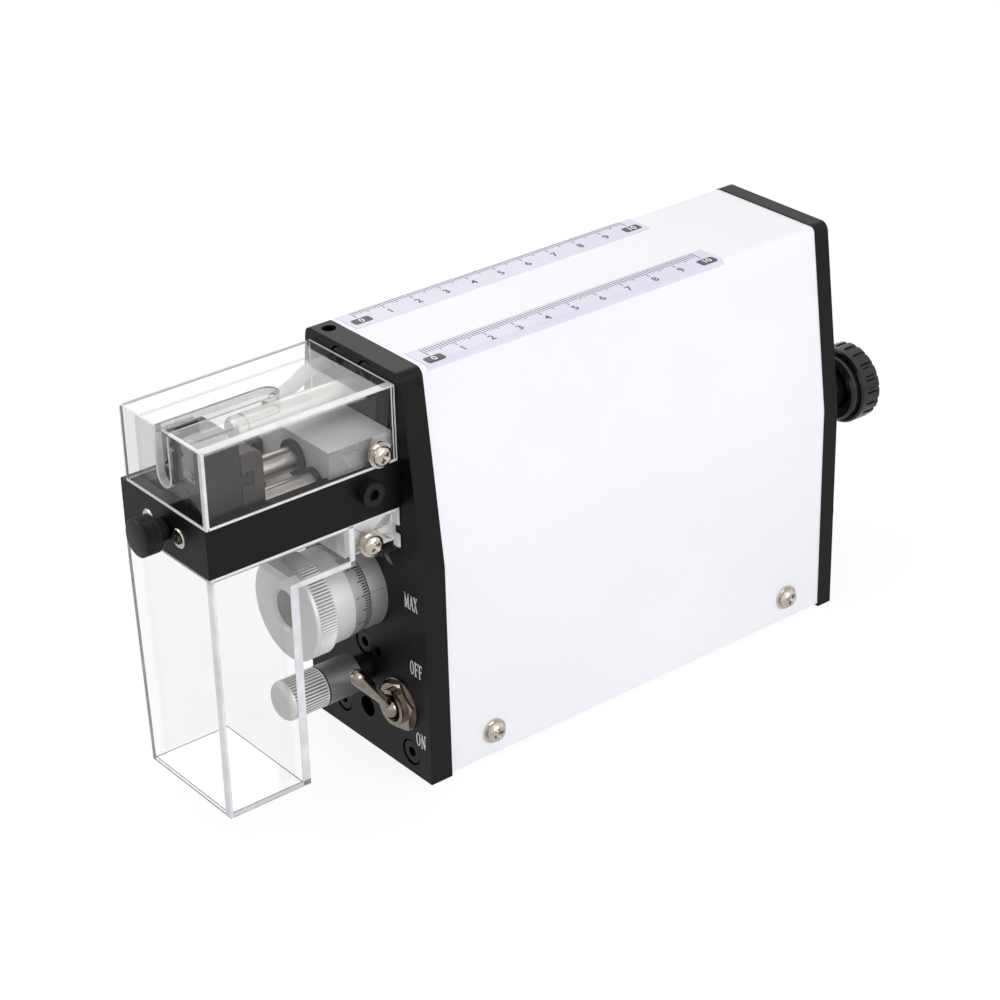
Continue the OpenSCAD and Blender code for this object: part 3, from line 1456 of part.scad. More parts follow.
front_plate();
rear_plate();
housing_cover();
base_plate();
ruler_strips();
housing_screws();
housing_washers();
front_plate_screws();
rear_plate_screws();
guide_block();
guide_block_screws();
shaft_bushings();
head_frame();
frame_screws();
frame_set_screws();
thumb_screw();
clear_cover();
clear_part_screws();
clear_part_washers();
waste_bin();
air_tube();
air_nozzle();
switch_body();
switch_washer();
switch_nut();
switch_lever();
dial_barrel();
dial_thimble();
dial_screw();
depth_stop();
depth_stop_pin();
fine_barrel();
fine_nut();
fine_knob();
fine_screw();
carrier_block();
pull_shaft();
guide_shaft();
crosshead();
closing_cylinder();
pull_rod();
pull_piston();
closing_rod();
closing_piston();
closing_cam();
jaw_right();
jaw_left();
blade_right();
blade_left();
blade_screw_right();
blade_screw_left();
trigger_rod();
trigger_block();
pull_cylinder();
valve_block();
stroke_knob();
stroke_screw();
lock_ring();
air_inlet();
silencer();
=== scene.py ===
# %% [markdown]
# # A pneumatic wire stripper, dressed for its picture
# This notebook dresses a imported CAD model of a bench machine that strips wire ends.
# The CAD holds every solid piece at its real size. These cells add what solids alone don't
# show: finishes, knurls, engraved marks and the light of a small product studio.
# All lengths are in metres here, so a helper turns millimetres into metres.

# %% Load the frame and keep its size
import math

import bmesh
import bpy
from mathutils import Matrix, Vector


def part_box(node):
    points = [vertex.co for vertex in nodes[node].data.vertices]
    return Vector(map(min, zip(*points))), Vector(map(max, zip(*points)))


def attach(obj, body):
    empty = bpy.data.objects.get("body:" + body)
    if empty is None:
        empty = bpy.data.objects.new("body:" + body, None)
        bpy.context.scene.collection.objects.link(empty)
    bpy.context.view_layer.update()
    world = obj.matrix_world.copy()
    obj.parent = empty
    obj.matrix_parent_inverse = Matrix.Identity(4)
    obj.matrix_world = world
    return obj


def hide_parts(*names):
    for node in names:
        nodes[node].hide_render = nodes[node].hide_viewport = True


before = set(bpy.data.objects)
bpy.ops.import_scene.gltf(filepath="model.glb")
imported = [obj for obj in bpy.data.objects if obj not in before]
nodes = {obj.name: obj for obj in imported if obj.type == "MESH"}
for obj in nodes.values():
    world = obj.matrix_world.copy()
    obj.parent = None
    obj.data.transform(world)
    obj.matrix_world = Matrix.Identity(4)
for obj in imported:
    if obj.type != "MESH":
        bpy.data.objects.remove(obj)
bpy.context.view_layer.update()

# %% [markdown]
# ## Places on the machine
# The drawing of this machine counts depths from the front face of its front plate.
# The same habit is kept here: `at(x, depth, z)` takes millimetres and gives a point in
# the shared frame, with the depth growing toward the rear of the machine.

# %% Millimetres and the front face
MM = 0.001
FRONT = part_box("front_plate")[0].y
CASE_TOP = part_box("housing_cover")[1].z


def at(x, depth, z):
    """A point from millimetres, with depth counted from the front face."""
    return Vector((x * MM, FRONT + depth * MM, z * MM))


print("front face at y =", round(FRONT / MM, 2), "mm, top of the case at", round(CASE_TOP / MM, 2), "mm")

# %% [markdown]
# ## The camera
# The photograph was taken from the front right and from above. Its lens and place came
# from the two printed rulers, whose true length is known: a camera was fitted until the
# ruler marks and the corners of the case fell on their pixels. The camera comes first,
# because every later choice is judged through it.

# %% Camera at the photograph's viewing angle
def new_object(name, data):
    """An object for some data, put into the scene."""
    piece = bpy.data.objects.new(name, data)
    bpy.context.scene.collection.objects.link(piece)
    return piece


AZIMUTH, ELEVATION, ROLL = (math.radians(v) for v in (51.854, 28.083, -1.477))
DISTANCE, SHIFT_X, SHIFT_Y = 813.96, 23.091, 14.823
FOCAL_PIXELS, IMAGE_PIXELS, SENSOR = 2726.3, 1000, 36
AIM = at(0, 80, 70)
level = math.cos(ELEVATION)
back = Vector((math.sin(AZIMUTH) * level, -math.cos(AZIMUTH) * level, math.sin(ELEVATION)))
right = Vector((math.cos(AZIMUTH), math.sin(AZIMUTH), 0))
up = back.cross(right)
view_x = math.cos(ROLL) * right + math.sin(ROLL) * up
view_y = -math.sin(ROLL) * right + math.cos(ROLL) * up
camera_data = bpy.data.cameras.new("photo_camera")
camera_data.sensor_width = SENSOR
camera_data.lens = FOCAL_PIXELS * SENSOR / IMAGE_PIXELS
camera_data.clip_end = 20
camera = new_object("photo_camera", camera_data)
place = AIM - view_x * SHIFT_X * MM - view_y * SHIFT_Y * MM + back * DISTANCE * MM
turn = Matrix((view_x, view_y, back)).transposed()
camera.matrix_world = Matrix.Translation(place) @ turn.to_4x4()
bpy.context.scene.camera = camera
print("camera at", [round(v, 3) for v in place], "lens", round(camera_data.lens, 1), "mm")

# %% [markdown]
# ## Tools for colour and shader nodes
# Colours are written as the hex values that a colour picker gives, and one function turns
# them into the linear light that a renderer counts with. One small function adds a shader
# node: its settings, its inputs, and a link wherever an input is another node's output.

# %% Colour and node helpers
def srgb(code):
    """A hex colour as linear red, green, blue and alpha."""
    parts = [int(code[i:i + 2], 16) / 255 for i in (1, 3, 5)]
    return tuple(p / 12.92 if p <= 0.04045 else ((p + 0.055) / 1.055) ** 2.4 for p in parts) + (1.0,)


def add(tree, kind, settings=None, inputs=None):
    """Adds one shader node with its settings and its inputs, linked or set."""
    made = tree.nodes.new("ShaderNode" + kind)
    for key, value in (settings or {}).items():
        setattr(made, key, value)
    for key, value in (inputs or {}).items():
        if isinstance(value, bpy.types.NodeSocket):
            tree.links.new(value, made.inputs[key])
        else:
            made.inputs[key].default_value = value
    return made


print("light grey #c0c0c0 is", [round(v, 3) for v in srgb("#c0c0c0")])

# %% [markdown]
# ## A starting point for every finish
# Most finishes differ in a few things: two close tones that drift into each other, how
# shiny the surface is and how much that varies, and the size and height of its grain.
# Noise textures in object coordinates could be painted images instead, but noise needs no
# unwrapping and its scale follows from a real size: a grain of 0.5 mm is a scale of 2000.

# %% A finish with drifting tone and a fine grain
def set_stops(ramp, *stops):
    """Sets the stops of a colour ramp; each is a position and a colour."""
    for stop, (position, colour) in zip(ramp.color_ramp.elements, stops):
        stop.position = position
        stop.color = colour


def finish(name, tone, tone_2, metallic, rough, rough_2, grain, height, drift=18.0, stretch=(1, 1, 1)):
    """A surface with two tones, a roughness range and a grain given in millimetres."""
    material = bpy.data.materials.new(name)
    material.use_nodes = True
    tree = material.node_tree
    shader = tree.nodes["Principled BSDF"]
    shader.inputs["Metallic"].default_value = metallic
    where = add(tree, "TexCoord").outputs["Object"]
    slow = add(tree, "TexNoise", None, {"Vector": where, "Scale": 1000 / drift, "Detail": 3.0})
    tones = add(tree, "ValToRGB", None, {"Fac": slow.outputs["Fac"]})
    set_stops(tones, (0.3, srgb(tone)), (0.7, srgb(tone_2)))
    tree.links.new(tones.outputs["Color"], shader.inputs["Base Color"])
    stretched = add(tree, "Mapping", None, {"Vector": where, "Scale": stretch}).outputs["Vector"]
    fine = add(tree, "TexNoise", None, {"Vector": stretched, "Scale": 1000 / grain, "Detail": 2.0})
    shine = add(tree, "MapRange", None, {
        "Value": fine.outputs["Fac"], "From Min": 0.3, "From Max": 0.7, "To Min": rough, "To Max": rough_2})
    tree.links.new(shine.outputs["Result"], shader.inputs["Roughness"])
    relief = add(tree, "Bump", None, {
        "Height": fine.outputs["Fac"], "Strength": 0.6, "Distance": height * MM})
    tree.links.new(relief.outputs["Normal"], shader.inputs["Normal"])
    return material


def tune(material, settings):
    """Sets more inputs of a finish's shader by their names."""
    for key, value in settings.items():
        material.node_tree.nodes["Principled BSDF"].inputs[key].default_value = value


print("finish helpers ready")

# %% [markdown]
# ## Powder coated sheet steel
# The housing is bent sheet with a satin white powder coat. Powder melts into a skin with
# a faint orange peel a little under a millimetre across, so highlights break up softly.

# %% White powder coat
powder_coat = finish("white_powder_coated_sheet", "#f5f6fa", "#f1f2f6", 0.0, 0.34, 0.44, 0.8, 0.012, 60)
tune(powder_coat, {"IOR": 1.5})
print("made", powder_coat.name)

# %% [markdown]
# ## Black anodised aluminium
# The end plates and the frame are milled, then anodised black. The oxide layer is glassy
# over a matte metal, so it looks satin and slightly grey where it meets the light.

# %% Black anodised plates
anodised_black = finish("black_anodised_aluminium", "#08080a", "#0c0c0e", 0.0, 0.36, 0.46, 0.25, 0.004, 30)
tune(anodised_black, {"Specular IOR Level": 0.2})
print("made", anodised_black.name)

# %% [markdown]
# ## Light metals
# The dials are turned aluminium, blasted with fine glass beads and anodised clear: soft
# and pale, with almost no direction in it. The guide block and the inner blocks are
# milled, which leaves fine parallel lines, so their grain is stretched. The barrels and
# the dial's slope get darker copies of the same aluminium, a painted shade with a painted
# reflection of the black plate. The fine dial's barrel is the darkest.

# %% Blasted and milled aluminium
blasted_aluminium = finish("bead_blasted_aluminium", "#d4d5d3", "#dbdbd8", 0.3, 0.42, 0.5, 0.2, 0.003, 30)
# Darker copies of the blasted aluminium: painted shade and painted reflection of the black plate.
dull_aluminium = finish("aluminium_greyed_by_painted_shade", "#b3b3b2", "#bababa", 0.7, 0.42, 0.5, 0.2, 0.003, 30)
dark_aluminium = finish("aluminium_darkened_by_painted_shade", "#7e7f81", "#86878a", 0.7, 0.42, 0.5, 0.2, 0.003, 30)
# Painted shade in recesses: the walls of the knurl grooves and the hollow of the dial's face.
groove_grime = finish("painted_shade_in_grooves_and_hollow", "#82817e", "#92918e", 0.6, 0.5, 0.65, 0.3, 0.004, 6)
MILLING = (1, 1, 0.08)
milled_aluminium = finish("milled_aluminium", "#cdcdcc", "#d6d6d4", 0.7, 0.36, 0.5, 0.3, 0.004, 22, MILLING)
pickled_aluminium = finish(
    "clear_anodised_aluminium", "#f0efed", "#f6f5f3", 0.15, 0.36, 0.46, 0.3, 0.004, 22, MILLING)
print("made", blasted_aluminium.name, dull_aluminium.name, dark_aluminium.name, milled_aluminium.name)

# %% [markdown]
# ## Nickel, ground steel and black steel
# Screws, the switch and its nut are nickel plated: warm grey and mirror-like with small
# ripples. The switch gets a darker nickel, a painted reflection of dark surroundings.
# Shafts are ground steel, with rings of fine scratches around them. The jaws and their
# carrier are blackened steel, and the socket screws have a black oxide skin.

# %% Steel finishes
nickel = finish("nickel_plated_steel", "#c9c1b6", "#d6cfc6", 1.0, 0.07, 0.16, 0.6, 0.006, 4)
# Darker nickel for the switch and the set screw points: painted reflection of dark surroundings.
worn_nickel = finish("nickel_plated_brass_painted_dark_reflection", "#8e857c", "#a39a90", 1.0, 0.12, 0.22, 0.5, 0.006, 3)
TURNING = (1, 6, 1)
ground_steel = finish("ground_steel", "#b0aca7", "#c0bcb7", 1.0, 0.22, 0.36, 0.2, 0.003, 8, TURNING)
blackened_steel = finish("blackened_steel", "#4f4947", "#5c5653", 0.4, 0.34, 0.46, 0.3, 0.006, 9)
jaw_steel = finish("hardened_black_steel", "#38383b", "#434347", 0.4, 0.3, 0.44, 0.3, 0.006, 9)
blade_steel = finish("ground_blade_steel", "#8d8d8f", "#a3a3a4", 1.0, 0.2, 0.34, 0.2, 0.003, 5, (1, 1, 6))
black_oxide = finish("black_oxide_steel", "#0d0d0e", "#141415", 0.0, 0.36, 0.5, 0.3, 0.005, 5)
tune(black_oxide, {"Specular IOR Level": 0.28})
print("made seven finishes for nickel and steel")

# %% [markdown]
# ## Plastics, film, brass and ink
# The rear knob is moulded phenolic, hard and nearly black. The bushings are a dry bearing
# plastic. The rulers are printed on a pale film, and the air tube is milky nylon.

# %% Plastics, brass and print
phenolic = finish("moulded_black_phenolic", "#101011", "#161617", 0.0, 0.14, 0.24, 0.6, 0.006, 8)
bearing_plastic = finish("black_bearing_plastic", "#141313", "#1b1a1a", 0.0, 0.4, 0.6, 0.3, 0.008, 5)
label_film = finish("pale_ruler_film", "#d9d9ea", "#dedeed", 0.0, 0.3, 0.4, 1.2, 0.004, 20)
nylon_tube = finish("milky_nylon_tube", "#bcbbb8", "#cac9c5", 0.0, 0.3, 0.4, 0.8, 0.006, 6)
tune(nylon_tube, {"Transmission Weight": 0.45})
turned_brass = finish("turned_brass", "#c9a45c", "#d6b36d", 1.0, 0.2, 0.34, 0.2, 0.004, 6, TURNING)
sintered_bronze = finish("sintered_bronze", "#a9793f", "#c39456", 0.9, 0.45, 0.65, 0.5, 0.08, 3)
ruler_ink = finish("grey_ruler_ink", "#33333c", "#3d3d46", 0.0, 0.4, 0.5, 0.6, 0.002, 5)
dark_ink = finish("dark_printing_ink", "#34343c", "#3e3e46", 0.0, 0.4, 0.5, 0.6, 0.002, 5)
white_fill = finish("white_engraving_paint", "#f2f2f0", "#fafaf8", 0.0, 0.5, 0.6, 0.4, 0.004, 3)
mark_black = finish("etched_scale_mark", "#2b2b2c", "#38383a", 0.2, 0.5, 0.6, 0.3, 0.003, 3)
mark_grey = finish("etched_index_mark", "#6a6a6c", "#787879", 0.3, 0.5, 0.6, 0.3, 0.003, 3)
print("made plastics, brass and inks")

# %% [markdown]
# ## Clear acrylic
# The cover and the bin are made of acrylic sheet. A sheet this thin hardly shifts what
# lies behind it, so it lets light straight through with a faint tint, and each face adds
# a mirror image of the white studio. On real acrylic that is 4 percent seen head on and
# far more at a glancing angle. A true bending glass would also work, but each wall would
# need many bounces before its edges turn bright. Wiping leaves faint smears, so the
# polish varies over a few millimetres. The bin lets the paper through at full white; the
# cover, which is a little thicker, is a shade greyer.

# %% Polished acrylic with faint smears
SMEAR = 6.0
HEAD_ON = 0.04


def clear_sheet(name, tint, shine):
    """Clear sheet: the tint is what one face lets through, shine a share of its gloss."""
    material = bpy.data.materials.new(name)
    material.use_nodes = True
    tree = material.node_tree
    tree.nodes.remove(tree.nodes["Principled BSDF"])
    where = add(tree, "TexCoord")
    scratch = add(tree, "TexNoise", None, {
        "Vector": where.outputs["Object"], "Scale": 1000 / SMEAR, "Detail": 4.0, "Distortion": 2.0})
    polish = add(tree, "MapRange", None, {
        "Value": scratch.outputs["Fac"], "From Min": 0.4, "From Max": 0.8, "To Min": 0.01, "To Max": 0.04})
    slant = add(tree, "LayerWeight", None, {"Blend": 0.5})
    steep = add(tree, "Math", {"operation": "POWER"}, {0: slant.outputs["Facing"], 1: 5.0})
    gloss = add(tree, "Math", {"operation": "MULTIPLY_ADD"}, {
        0: steep.outputs["Value"], 1: (1 - HEAD_ON) * shine, 2: HEAD_ON * shine})
    through = add(tree, "BsdfTransparent", None, {"Color": srgb(tint)})
    mirror = add(tree, "BsdfGlossy", None, {"Color": (1, 1, 1, 1), "Roughness": polish.outputs["Result"]})
    both = add(tree, "MixShader", None, {
        "Fac": gloss.outputs["Value"], 1: through.outputs["BSDF"], 2: mirror.outputs["BSDF"]})
    tree.links.new(both.outputs["Shader"], tree.nodes["Material Output"].inputs["Surface"])
    return material


acrylic = clear_sheet("polished_clear_acrylic", "#fefefe", 0.6)
hood_acrylic = clear_sheet("faintly_grey_acrylic", "#f4f4f4", 1.0)
print("made", acrylic.name, "and", hood_acrylic.name)

# %% [markdown]
# ## Bright edges of the acrylic
# Light runs along inside a clear sheet and leaves it at the edges and at the bonded
# joints, so these look milky and pale, a little violet. Real light piping needs very long
# paths, so that light is painted: the edges get a pale, half matte finish that glows
# faintly, with a faint cloud that follows the sawn edge. Thin outlines are greyer, a
# painted shade for the dark lines along a sheet's edge. The cut faces of the slot are
# frosted and let some light through, and so does a pale veil on the shelf of the bin.

# %% Milky edge of a clear sheet
acrylic_edge = finish("acrylic_edge_painted_glow", "#cbcacf", "#dfdee2", 0.0, 0.25, 0.4, 0.5, 0.004, 5)
# Painted light: a pale edge finish that glows faintly.
tune(acrylic_edge, {"IOR": 1.49, "Emission Color": srgb("#e8e6ea"), "Emission Strength": 0.1})
# Painted shade: grey lines for the dark look of a clear sheet's edge.
sawn_edge = finish("acrylic_edge_painted_dark_line", "#8f8e94", "#a9a8ae", 0.0, 0.3, 0.45, 0.5, 0.004, 4)
frosted_cut = finish("frosted_acrylic_cut", "#d4d3d8", "#e4e3e7", 0.0, 0.3, 0.4, 0.5, 0.004, 5)
tune(frosted_cut, {"Alpha": 0.8})
# A pale, half see-through veil for the shelf of the bin and the top cut of the slot.
haze = finish("pale_veil_on_acrylic", "#d6d6d8", "#e6e6e8", 0.0, 0.5, 0.6, 0.8, 0.004, 6)
tune(haze, {"Alpha": 0.3})
print("made", acrylic_edge.name, sawn_edge.name, frosted_cut.name, "and", haze.name)

# %% [markdown]
# ## Give every solid its finish
# Each CAD node keeps its shape and gets the material of the real piece. Sharp machined
# edges never look real, because a real edge is always broken a little and catches a line
# of light. A Decimate modifier first joins flat triangles back into whole faces, and a
# small Bevel then rounds only the true edges.

# %% Materials and broken edges for the CAD nodes
FINISHES = {
    anodised_black: ["front_plate", "rear_plate", "head_frame"],
    powder_coat: ["housing_cover"],
    pickled_aluminium: ["guide_block"],
    milled_aluminium: [
        "base_plate", "crosshead", "closing_cylinder", "pull_cylinder", "valve_block", "trigger_block"],
    blasted_aluminium: ["dial_thimble", "fine_knob"],
    dull_aluminium: ["dial_barrel"],
    dark_aluminium: ["fine_barrel"],
    label_film: ["ruler_strips"],
    nickel: [
        "housing_screws", "housing_washers", "clear_part_screws", "clear_part_washers", "air_nozzle",
        "frame_set_screws"],
    worn_nickel: ["switch_washer", "switch_nut", "switch_lever", "switch_body"],
    black_oxide: [
        "front_plate_screws", "rear_plate_screws", "guide_block_screws", "frame_screws", "thumb_screw",
        "fine_nut", "lock_ring"],
    ground_steel: [
        "dial_screw", "depth_stop_pin", "fine_screw", "pull_shaft", "guide_shaft", "pull_rod",
        "closing_rod", "trigger_rod", "stroke_screw", "blade_screw_right", "blade_screw_left"],
    blade_steel: ["blade_right", "blade_left"],
    blackened_steel: ["carrier_block", "closing_cam"],
    jaw_steel: ["jaw_right", "jaw_left"],
    bearing_plastic: ["shaft_bushings", "pull_piston", "closing_piston"],
    acrylic: ["waste_bin"],
    hood_acrylic: ["clear_cover"],
    nylon_tube: ["air_tube"],
    turned_brass: ["depth_stop", "air_inlet"],
    sintered_bronze: ["silencer"],
    phenolic: ["stroke_knob"],
}
EDGE = {
    "front_plate": 0.35, "rear_plate": 0.35, "head_frame": 0.5, "clear_cover": 0.5, "waste_bin": 0.4,
    "guide_block": 0.25, "carrier_block": 0.3, "frame_set_screws": 0.12, "switch_nut": 0.12,
    "jaw_right": 0.25, "jaw_left": 0.25, "base_plate": 0.3,
}
for material, names in FINISHES.items():
    for name in names:
        node = nodes[name]
        node.data.materials.clear()
        node.data.materials.append(material)


def break_edges(node, width):
    """Joins flat triangles and rounds the true edges of a node by a width in millimetres."""
    flat = node.modifiers.new("whole_faces", "DECIMATE")
    flat.decimate_type = "DISSOLVE"
    flat.angle_limit = math.radians(1.0)
    round_over = node.modifiers.new("broken_edges", "BEVEL")
    round_over.width = width * MM
    round_over.segments = 2
    round_over.limit_method = "ANGLE"
    round_over.angle_limit = math.radians(40)
    round_over.harden_normals = True


for name, width in EDGE.items():
    break_edges(nodes[name], width)
dressed = sum(len(names) for names in FINISHES.values())
print("finishes on", dressed, "of", len(nodes), "nodes; edges broken on", len(EDGE))

# %% [markdown]
# ## Tools for new pieces
# Knurls, domes and engraved marks are finer than the CAD. They are built as meshes from
# a few numbers. `mesh_piece` makes an object from points and faces, `rings` gives the
# faces of anything made of rings of points, and `dress` gives a piece its finish and the
# body it moves with, and hides the solids it stands for.

# %% Mesh helpers
BOX_FACES = ((0, 3, 2, 1), (4, 5, 6, 7), (0, 1, 5, 4), (1, 2, 6, 5), (2, 3, 7, 6), (3, 0, 4, 7))
SHARP_DEG = 32
OFF_AXIS = 0.001


def linked(name, mesh, sharp_deg):
    """An object for a mesh. Edges that bend more than the angle stay sharp; 0 keeps all flat."""
    piece = new_object(name, mesh)
    if sharp_deg:
        mesh.polygons.foreach_set("use_smooth", [True] * len(mesh.polygons))
        mesh.set_sharp_from_angle(angle=math.radians(sharp_deg))
    return piece


def mesh_piece(name, points, faces, smooth=True):
    """A mesh object from points in metres and faces."""
    mesh = bpy.data.meshes.new(name)
    mesh.from_pydata([tuple(p) for p in points], [], faces)
    mesh.validate()
    tool = bmesh.new()
    tool.from_mesh(mesh)
    bmesh.ops.recalc_face_normals(tool, faces=tool.faces)
    tool.to_mesh(mesh)
    tool.free()
    return linked(name, mesh, SHARP_DEG if smooth else 0)


def angles(steps):
    """The angles of points spread evenly over one turn."""
    return [2 * math.pi * k / steps for k in range(steps)]


def rings(rows, steps):
    """Faces over rows of points that are each a closed ring, with a cap at both ends."""
    faces = []
    for i in range(rows - 1):
        for k in range(steps):
            n = (k + 1) % steps
            faces.append((i * steps + k, i * steps + n, (i + 1) * steps + n, (i + 1) * steps + k))
    faces.append(tuple(range(steps)))
    faces.append(tuple(range((rows - 1) * steps, rows * steps)))
    return faces


def dress(piece, material, body, slot, *stands_for):
    """Finishes a piece: its material, its body and the nodes it replaces. The record slot is not used."""
    piece.data.materials.clear()
    piece.data.materials.append(material)
    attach(piece, body)
    if stands_for:
        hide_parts(*stands_for)
    return piece


def turned(name, axis, profile, steps=96, shape=None):
    """A piece turned about a line along Y. The profile holds (depth, radius) in millimetres.
    shape(depth, angle) may change the radius, as a knurling wheel does."""
    points = []
    for depth, radius in profile:
        for angle in angles(steps):
            r = max(OFF_AXIS, radius + (shape(depth, angle) if shape else 0))
            points.append(at(axis[0] + r * math.cos(angle), depth, axis[1] + r * math.sin(angle)))
    return mesh_piece(name, points, rings(len(profile), steps))


print("mesh helpers ready")

# %% [markdown]
# ## The depth dial
# The big dial is a thimble like that of a micrometer. It has a straight knurl for the
# fingers, a smooth sleeve, and a slope at its rear end with a hundred fine lines. A knurl
# could be a bump texture, but at this size its teeth break the outline, so each tooth is
# real. The wheel that presses them leaves 96 teeth, a millimetre apart. The walls of the
# grooves and the hollow in the dial's face get a darker finish, a painted shade.

# %% Thimble with a straight knurl
DIAL = (-1.7, 54.7)
RIM_R, SLEEVE_R, BARREL_R = 15.4, 13.9, 13.3
KNURL_START, KNURL_END, GROOVE_R = -24.3, -19.1, 15.12
SLOPE_START, SLOPE_END = -11.6, -6.0
HOLLOW = -24.9
TEETH = 96
SLACK = 0.01


def knurl(teeth, start, end, depth_of_cut):
    """Cuts straight teeth between two depths, with a little slack for rounding."""
    def cut(depth, angle):
        if not start - SLACK <= depth <= end + SLACK:
            return 0.0
        wave = 0.5 - 0.5 * math.cos(angle * teeth)
        return -depth_of_cut * wave ** 1.5
    return cut


thimble_profile = [
    (HOLLOW, 0.1), (HOLLOW, 5.7), (-25.75, 6.25), (-26.0, 6.6), (-26.0, 14.7), (-25.75, 15.2),
    (-25.4, RIM_R), (-24.7, RIM_R), (-24.6, RIM_R), (KNURL_START, RIM_R), (KNURL_END, RIM_R),
    (-18.9, RIM_R), (-18.8, 15.2), (-18.62, 14.9), (-18.6, SLEEVE_R), (SLOPE_START, SLEEVE_R),
    (SLOPE_END - 0.1, BARREL_R), (SLOPE_END, BARREL_R - 0.1), (SLOPE_END, 3.2),
]
dial_knurl = knurl(TEETH, KNURL_START, KNURL_END, 0.46)
thimble = turned("dial_thimble_knurled", DIAL, thimble_profile, TEETH * 8, dial_knurl)
dress(thimble, blasted_aluminium, "depth_dial", "blasted_aluminium", "dial_thimble")


def repaint(piece, axis, start, end, radius, material):
    """Gives the faces between two depths and below a radius a finish of their own."""
    piece.data.materials.append(material)
    slot = len(piece.data.materials) - 1
    for face in piece.data.polygons:
        depth = (face.center.y - FRONT) / MM
        radial = math.hypot(face.center.x / MM - axis[0], face.center.z / MM - axis[1])
        if start < depth < end and radial < radius:
            face.material_index = slot


# Painted shade: the walls of the knurl's grooves get the darker finish.
repaint(thimble, DIAL, KNURL_START, KNURL_END, GROOVE_R, groove_grime)
# Painted reflection of the black plate: the slope gets the darker aluminium.
repaint(thimble, DIAL, SLOPE_START, SLOPE_END, 15, dull_aluminium)
# Painted shade in the hollow of the dial's face.
repaint(thimble, DIAL, HOLLOW - 0.1, HOLLOW + 0.1, 5.8, groove_grime)
print("thimble with", TEETH, "teeth,", len(thimble.data.polygons), "faces")

# %% [markdown]
# ## Scale lines and digits on a round face
# The lines are thin plates bent round the slope, one for each hundredth of a turn, longer
# at every fifth, with a small digit at every tenth. Digits come from the built-in font,
# turned into a mesh and wrapped point by point. The slope's radius grows with the
# distance from the plate, so the wrap asks a function for the radius at each depth.

# %% Wrap flat marks round the dial
def plate_marks(rects, lift=0.02):
    """Thin flat boxes (x0, y0, x1, y1) in millimetres as points and faces."""
    points, faces = [], []
    for x0, y0, x1, y1 in rects:
        base = len(points)
        for z in (-0.05, lift):
            points += [(x0, y0, z), (x1, y0, z), (x1, y1, z), (x0, y1, z)]
        faces += [tuple(base + k for k in quad) for quad in BOX_FACES]
    return points, faces


def baked(piece):
    """A new mesh of what modifiers or text settings make of an object."""
    bpy.context.view_layer.update()
    shown = piece.evaluated_get(bpy.context.evaluated_depsgraph_get())
    return bpy.data.meshes.new_from_object(shown)


def lettering(text, size, turn_deg, x, y, lift=0.02, bold=0.0):
    """Words from the built-in font as points and faces in millimetres, centred on x, y."""
    curve = bpy.data.curves.new("letters", "FONT")
    curve.body = text
    curve.size = size
    curve.align_x = "CENTER"
    curve.align_y = "CENTER"
    curve.extrude = lift
    curve.offset = bold
    curve.resolution_u = 4
    holder = new_object("letters", curve)
    flat = baked(holder)
    spin = Matrix.Rotation(math.radians(turn_deg), 4, "Z")
    points = [spin @ v.co + Vector((x, y, 0)) for v in flat.vertices]
    faces = [tuple(p.vertices) for p in flat.polygons]
    bpy.data.objects.remove(holder)
    bpy.data.curves.remove(curve)
    bpy.data.meshes.remove(flat)
    return [tuple(p) for p in points], faces


def joined(parts):
    """Joins several (points, faces) pairs into one."""
    points, faces = [], []
    for more_points, more_faces in parts:
        base = len(points)
        points += list(more_points)
        faces += [tuple(base + k for k in f) for f in more_faces]
    return points, faces


def slope_radius(depth):
    """Radius of the thimble's slope at a depth, in millimetres."""
    share = (depth - SLOPE_START) / (SLOPE_END - SLOPE_START)
    return SLEEVE_R + (BARREL_R - SLEEVE_R) * min(1.0, max(0.0, share))


def wrapped(name, axis, radius, parts, start_deg):
    """Wraps flat marks round a line along Y: flat x goes round it, flat y along depth."""
    flat_points, faces = joined(parts)
    points = []
    for x, y, z in flat_points:
        angle = math.radians(start_deg) + x / BARREL_R
        r = radius(y) + z
        points.append(at(axis[0] + r * math.cos(angle), y, axis[1] + r * math.sin(angle)))
    return mesh_piece(name, points, faces, False)


print("mark helpers ready")

# %% [markdown]
# A scale like this is read against one index line. That line is on the fixed barrel, so
# it belongs to the body of the machine, while the scale rides on the dial and turns with
# it. Both could be one image on the metal, but thin plates stay crisp at any distance.

# %% The hundred lines of the depth dial
LINES = 100
STEP = 2 * math.pi * BARREL_R / LINES
INDEX_DEG = 15.6
TICK_HALF, TICK_END, TICK, LONG_TICK = 0.17, -6.2, 1.7, 2.7
DIGIT_SIZE, DIGIT_DEPTH = 1.75, -10.05
marks = []
digits = []
for k in range(LINES):
    x = k * STEP
    long = LONG_TICK if k % 5 == 0 else TICK
    marks.append((x - TICK_HALF, TICK_END - long, x + TICK_HALF, TICK_END))
    if k % 10 == 0:
        digits.append(lettering(str((k // 10 + 7) % 10), DIGIT_SIZE, 180, x, DIGIT_DEPTH))
dial_scale = wrapped("dial_scale_lines", DIAL, slope_radius, [plate_marks(marks)] + digits, INDEX_DEG)
dress(dial_scale, mark_black, "depth_dial", "blasted_aluminium")
index_mark = plate_marks([(-0.07, -5.5, 0.07, -0.2)])
index_line = wrapped("dial_index_line", DIAL, lambda depth: BARREL_R, [index_mark], INDEX_DEG)
dress(index_line, mark_grey, "machine", "blasted_aluminium")
print("dial scale with", len(marks), "lines and", len(digits), "digits")

# %% [markdown]
# ## The fine dial
# The small knob has a domed end and the same kind of straight knurl. Its barrel stays
# still behind it. A turned profile gives both the dome and the teeth in one mesh.

